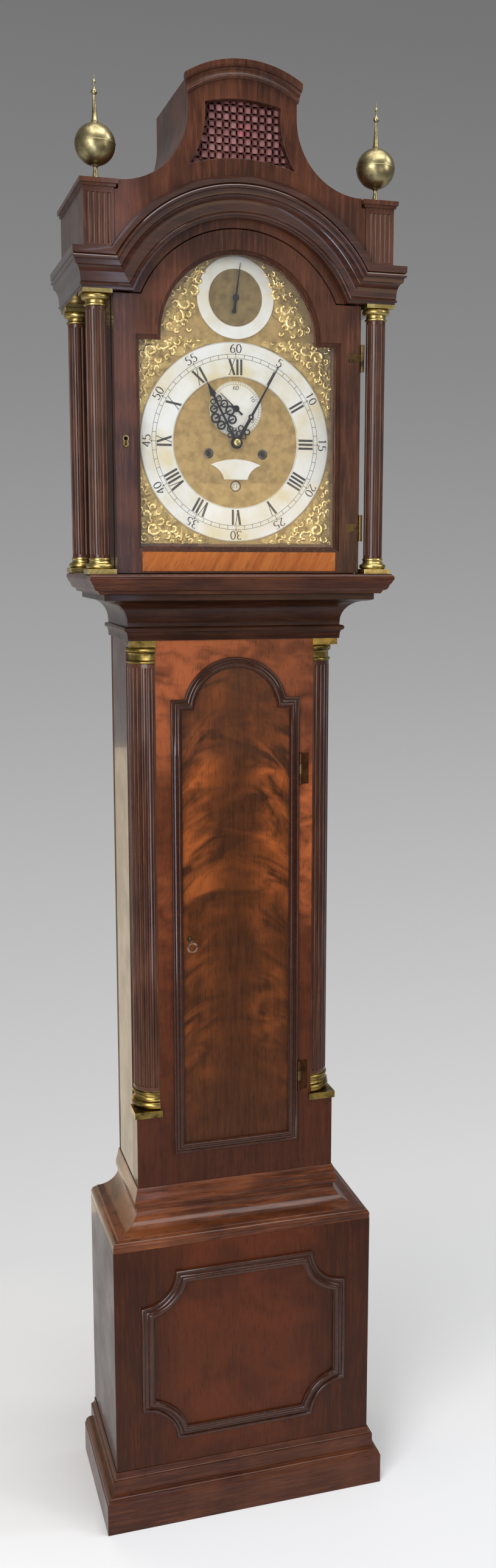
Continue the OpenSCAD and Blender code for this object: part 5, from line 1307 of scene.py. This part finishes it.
@dataclass
class Studio:
    """The paper, the lamps and the camera."""

    floor_back: float = 0.5
    bend: float = 1.2
    top: float = 5.0
    greys: list[tuple[float, str]] = field(default_factory=lambda: [
        (-5.0, "#8e8e8e"), (-2.4, "#9e9e9e"), (-1.0, "#c6c6c6"), (-0.5, "#e9e9e9"),
        (-0.2, "#ececec"), (0.1, "#e9e9e9"), (0.6, "#dfdfdf"), (1.5, "#c5c5c5"),
        (2.4, "#a6a6a6"), (3.2, "#8c8c8c"), (4.2, "#747373"), (7.0, "#6c6b6b")])
    camera_place: tuple[float, float, float] = (-0.5566, -2.1258, 1.5702)
    yaw: float = 17.032
    pitch: float = -9.489
    roll: float = 0.208
    lens: float = 31.92
    shift: float = -0.0233

    def build(self) -> None:
        """Sets up the camera, the paper and the lamps."""
        self.camera()
        self.paper()
        self.lamps()
        scene = bpy.context.scene
        scene.view_settings.view_transform = "Standard"
        world = bpy.data.worlds.new("studio_air")
        world.use_nodes = True
        world.node_tree.nodes.clear()
        add = partial(add_node, world.node_tree)
        add("OutputWorld", {"Surface": add("Background", [linear("#c9ccd0"), 0.3])})
        scene.world = world

    def camera(self) -> None:
        """Places the camera, turned by yaw from +Y towards +X, then by pitch and roll."""
        yaw, pitch, roll = (math.radians(a) for a in (self.yaw, self.pitch, self.roll))
        ahead = Vector((math.sin(yaw) * math.cos(pitch), math.cos(yaw) * math.cos(pitch),
                        math.sin(pitch)))
        level = Vector((math.cos(yaw), -math.sin(yaw), 0))
        above = level.cross(ahead)
        right = math.cos(roll) * level + math.sin(roll) * above
        up = -math.sin(roll) * level + math.cos(roll) * above
        data = bpy.data.cameras.new("camera")
        data.lens = self.lens
        data.sensor_width = 36
        data.shift_x = self.shift
        data.clip_start = 0.05
        camera = bpy.data.objects.new("camera", data)
        camera.matrix_world = Matrix.Translation(self.camera_place) @ Matrix(
            (right, up, -ahead)).transposed().to_4x4()
        bpy.context.scene.collection.objects.link(camera)
        bpy.context.scene.camera = camera

    def paper(self) -> None:
        """A strip of paper: flat floor, a quarter circle up, and an upright wall."""
        turn = np.linspace(0, np.pi / 2, 33)
        floor = np.stack([np.linspace(-5.0, self.floor_back, 57), np.zeros(57)], axis=1)
        curve = np.stack([self.floor_back + self.bend * np.sin(turn),
                          self.bend * (1 - np.cos(turn))], axis=1)[1:]
        wall = np.stack([np.full(30, self.floor_back + self.bend),
                         np.linspace(self.bend, self.top, 31)[1:]], axis=1)
        profile = np.concatenate([floor, curve, wall])
        run = np.concatenate([[0], np.cumsum(np.linalg.norm(np.diff(profile, axis=0), axis=1))])
        run += profile[0, 0]
        across = np.linspace(-6, 6, 25)
        points = np.stack(np.broadcast_arrays(across, profile[:, :1], profile[:, 1:]), axis=2)
        mesh = bpy.data.meshes.new("studio_paper")
        mesh.from_pydata(points.reshape(-1, 3).tolist(), [],
                         grid_faces(len(profile), 25, False).tolist())
        mesh.shade_smooth()
        places = [g[0] for g in self.greys]
        tones = np.array([linear(g[1])[0] for g in self.greys])
        tone = np.repeat(np.interp(run, places, tones), 25)
        glow = np.repeat(np.clip((run - 0.15) / 0.7, 0, 1), 25)
        grey = mesh.attributes.new("grey", "FLOAT_COLOR", "POINT")
        grey.data.foreach_set("color", np.stack([tone, tone, tone, np.ones_like(tone)],
                                                axis=1).ravel())
        mesh.attributes.new("glow", "FLOAT", "POINT").data.foreach_set("value", glow)
        paper = bpy.data.objects.new("studio_paper", mesh)
        bpy.context.scene.collection.objects.link(paper)
        mesh.materials.append(StudioPaper("paper_graduated", "stage").material())

    def lamps(self) -> None:
        """Soft boxes: place, point aimed at, width, height, power and colour of each."""
        boxes = {
            "window_left": ((-2.2, -2.6, 1.95), (0, 0, 1.3), 1.7, 2.3, 90, "#fdfdff"),
            "window_right": ((2.3, -1.9, 2.6), (0, 0, 1.5), 0.6, 1.6, 18, "#fffdfa"),
            "window_high": ((2.4, -0.6, 3.9), (0, 0, 1.9), 0.4, 1.3, 20, "#f4f7ff"),
            "ceiling": ((0.1, -0.75, 4.2), (0, 0, 0.8), 2.6, 2.0, 88, "#ffffff"),
            "window_low": ((-0.9, -2.2, 0.7), (0.1, 0, 1.9), 0.3, 1.0, 11, "#dfe8ff"),
            "window_bar": ((0.585, -4.2, 1.9), (0, 0, 1.9), 0.11, 3.0, 3.6, "#cfdcff"),
            "card_front": ((1.6, -4.2, 1.8), (0, 0, 1.6), 2.5, 2.5, 11, "#ffffff"),
            "lamp_warm": ((0.9, -2.6, 1.45), (0, 0, 1.6), 0.7, 0.7, 1.4, "#ffd28a"),
            "card_side": ((-0.55, 0.75, 0.64), (-0.45, -1, 0.64), 0.62, 1.04, 1.9, "#ffe8b8")}
        for name, (place, aim, wide, high, power, colour) in boxes.items():
            data = bpy.data.lights.new(name, "AREA")
            data.shape = "RECTANGLE"
            data.size, data.size_y = wide, high
            data.energy = power
            data.color = linear(colour)[:3]
            lamp = bpy.data.objects.new(name, data)
            lamp.location = place
            lamp.rotation_euler = (Vector(aim) - Vector(place)).to_track_quat("-Z", "Y").to_euler()
            lamp.visible_camera = False
            bpy.context.scene.collection.objects.link(lamp)


def main() -> None:
    """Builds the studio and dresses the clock."""
    logging.basicConfig(level=logging.INFO, format="%(message)s")
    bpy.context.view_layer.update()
    for part in (Studio(), Case(), Hood(), HoodDoor(), Dial(), Movement()):
        LOG.info("building %s", type(part).__name__)
        part.build()


if __name__ == "__main__":
    main()
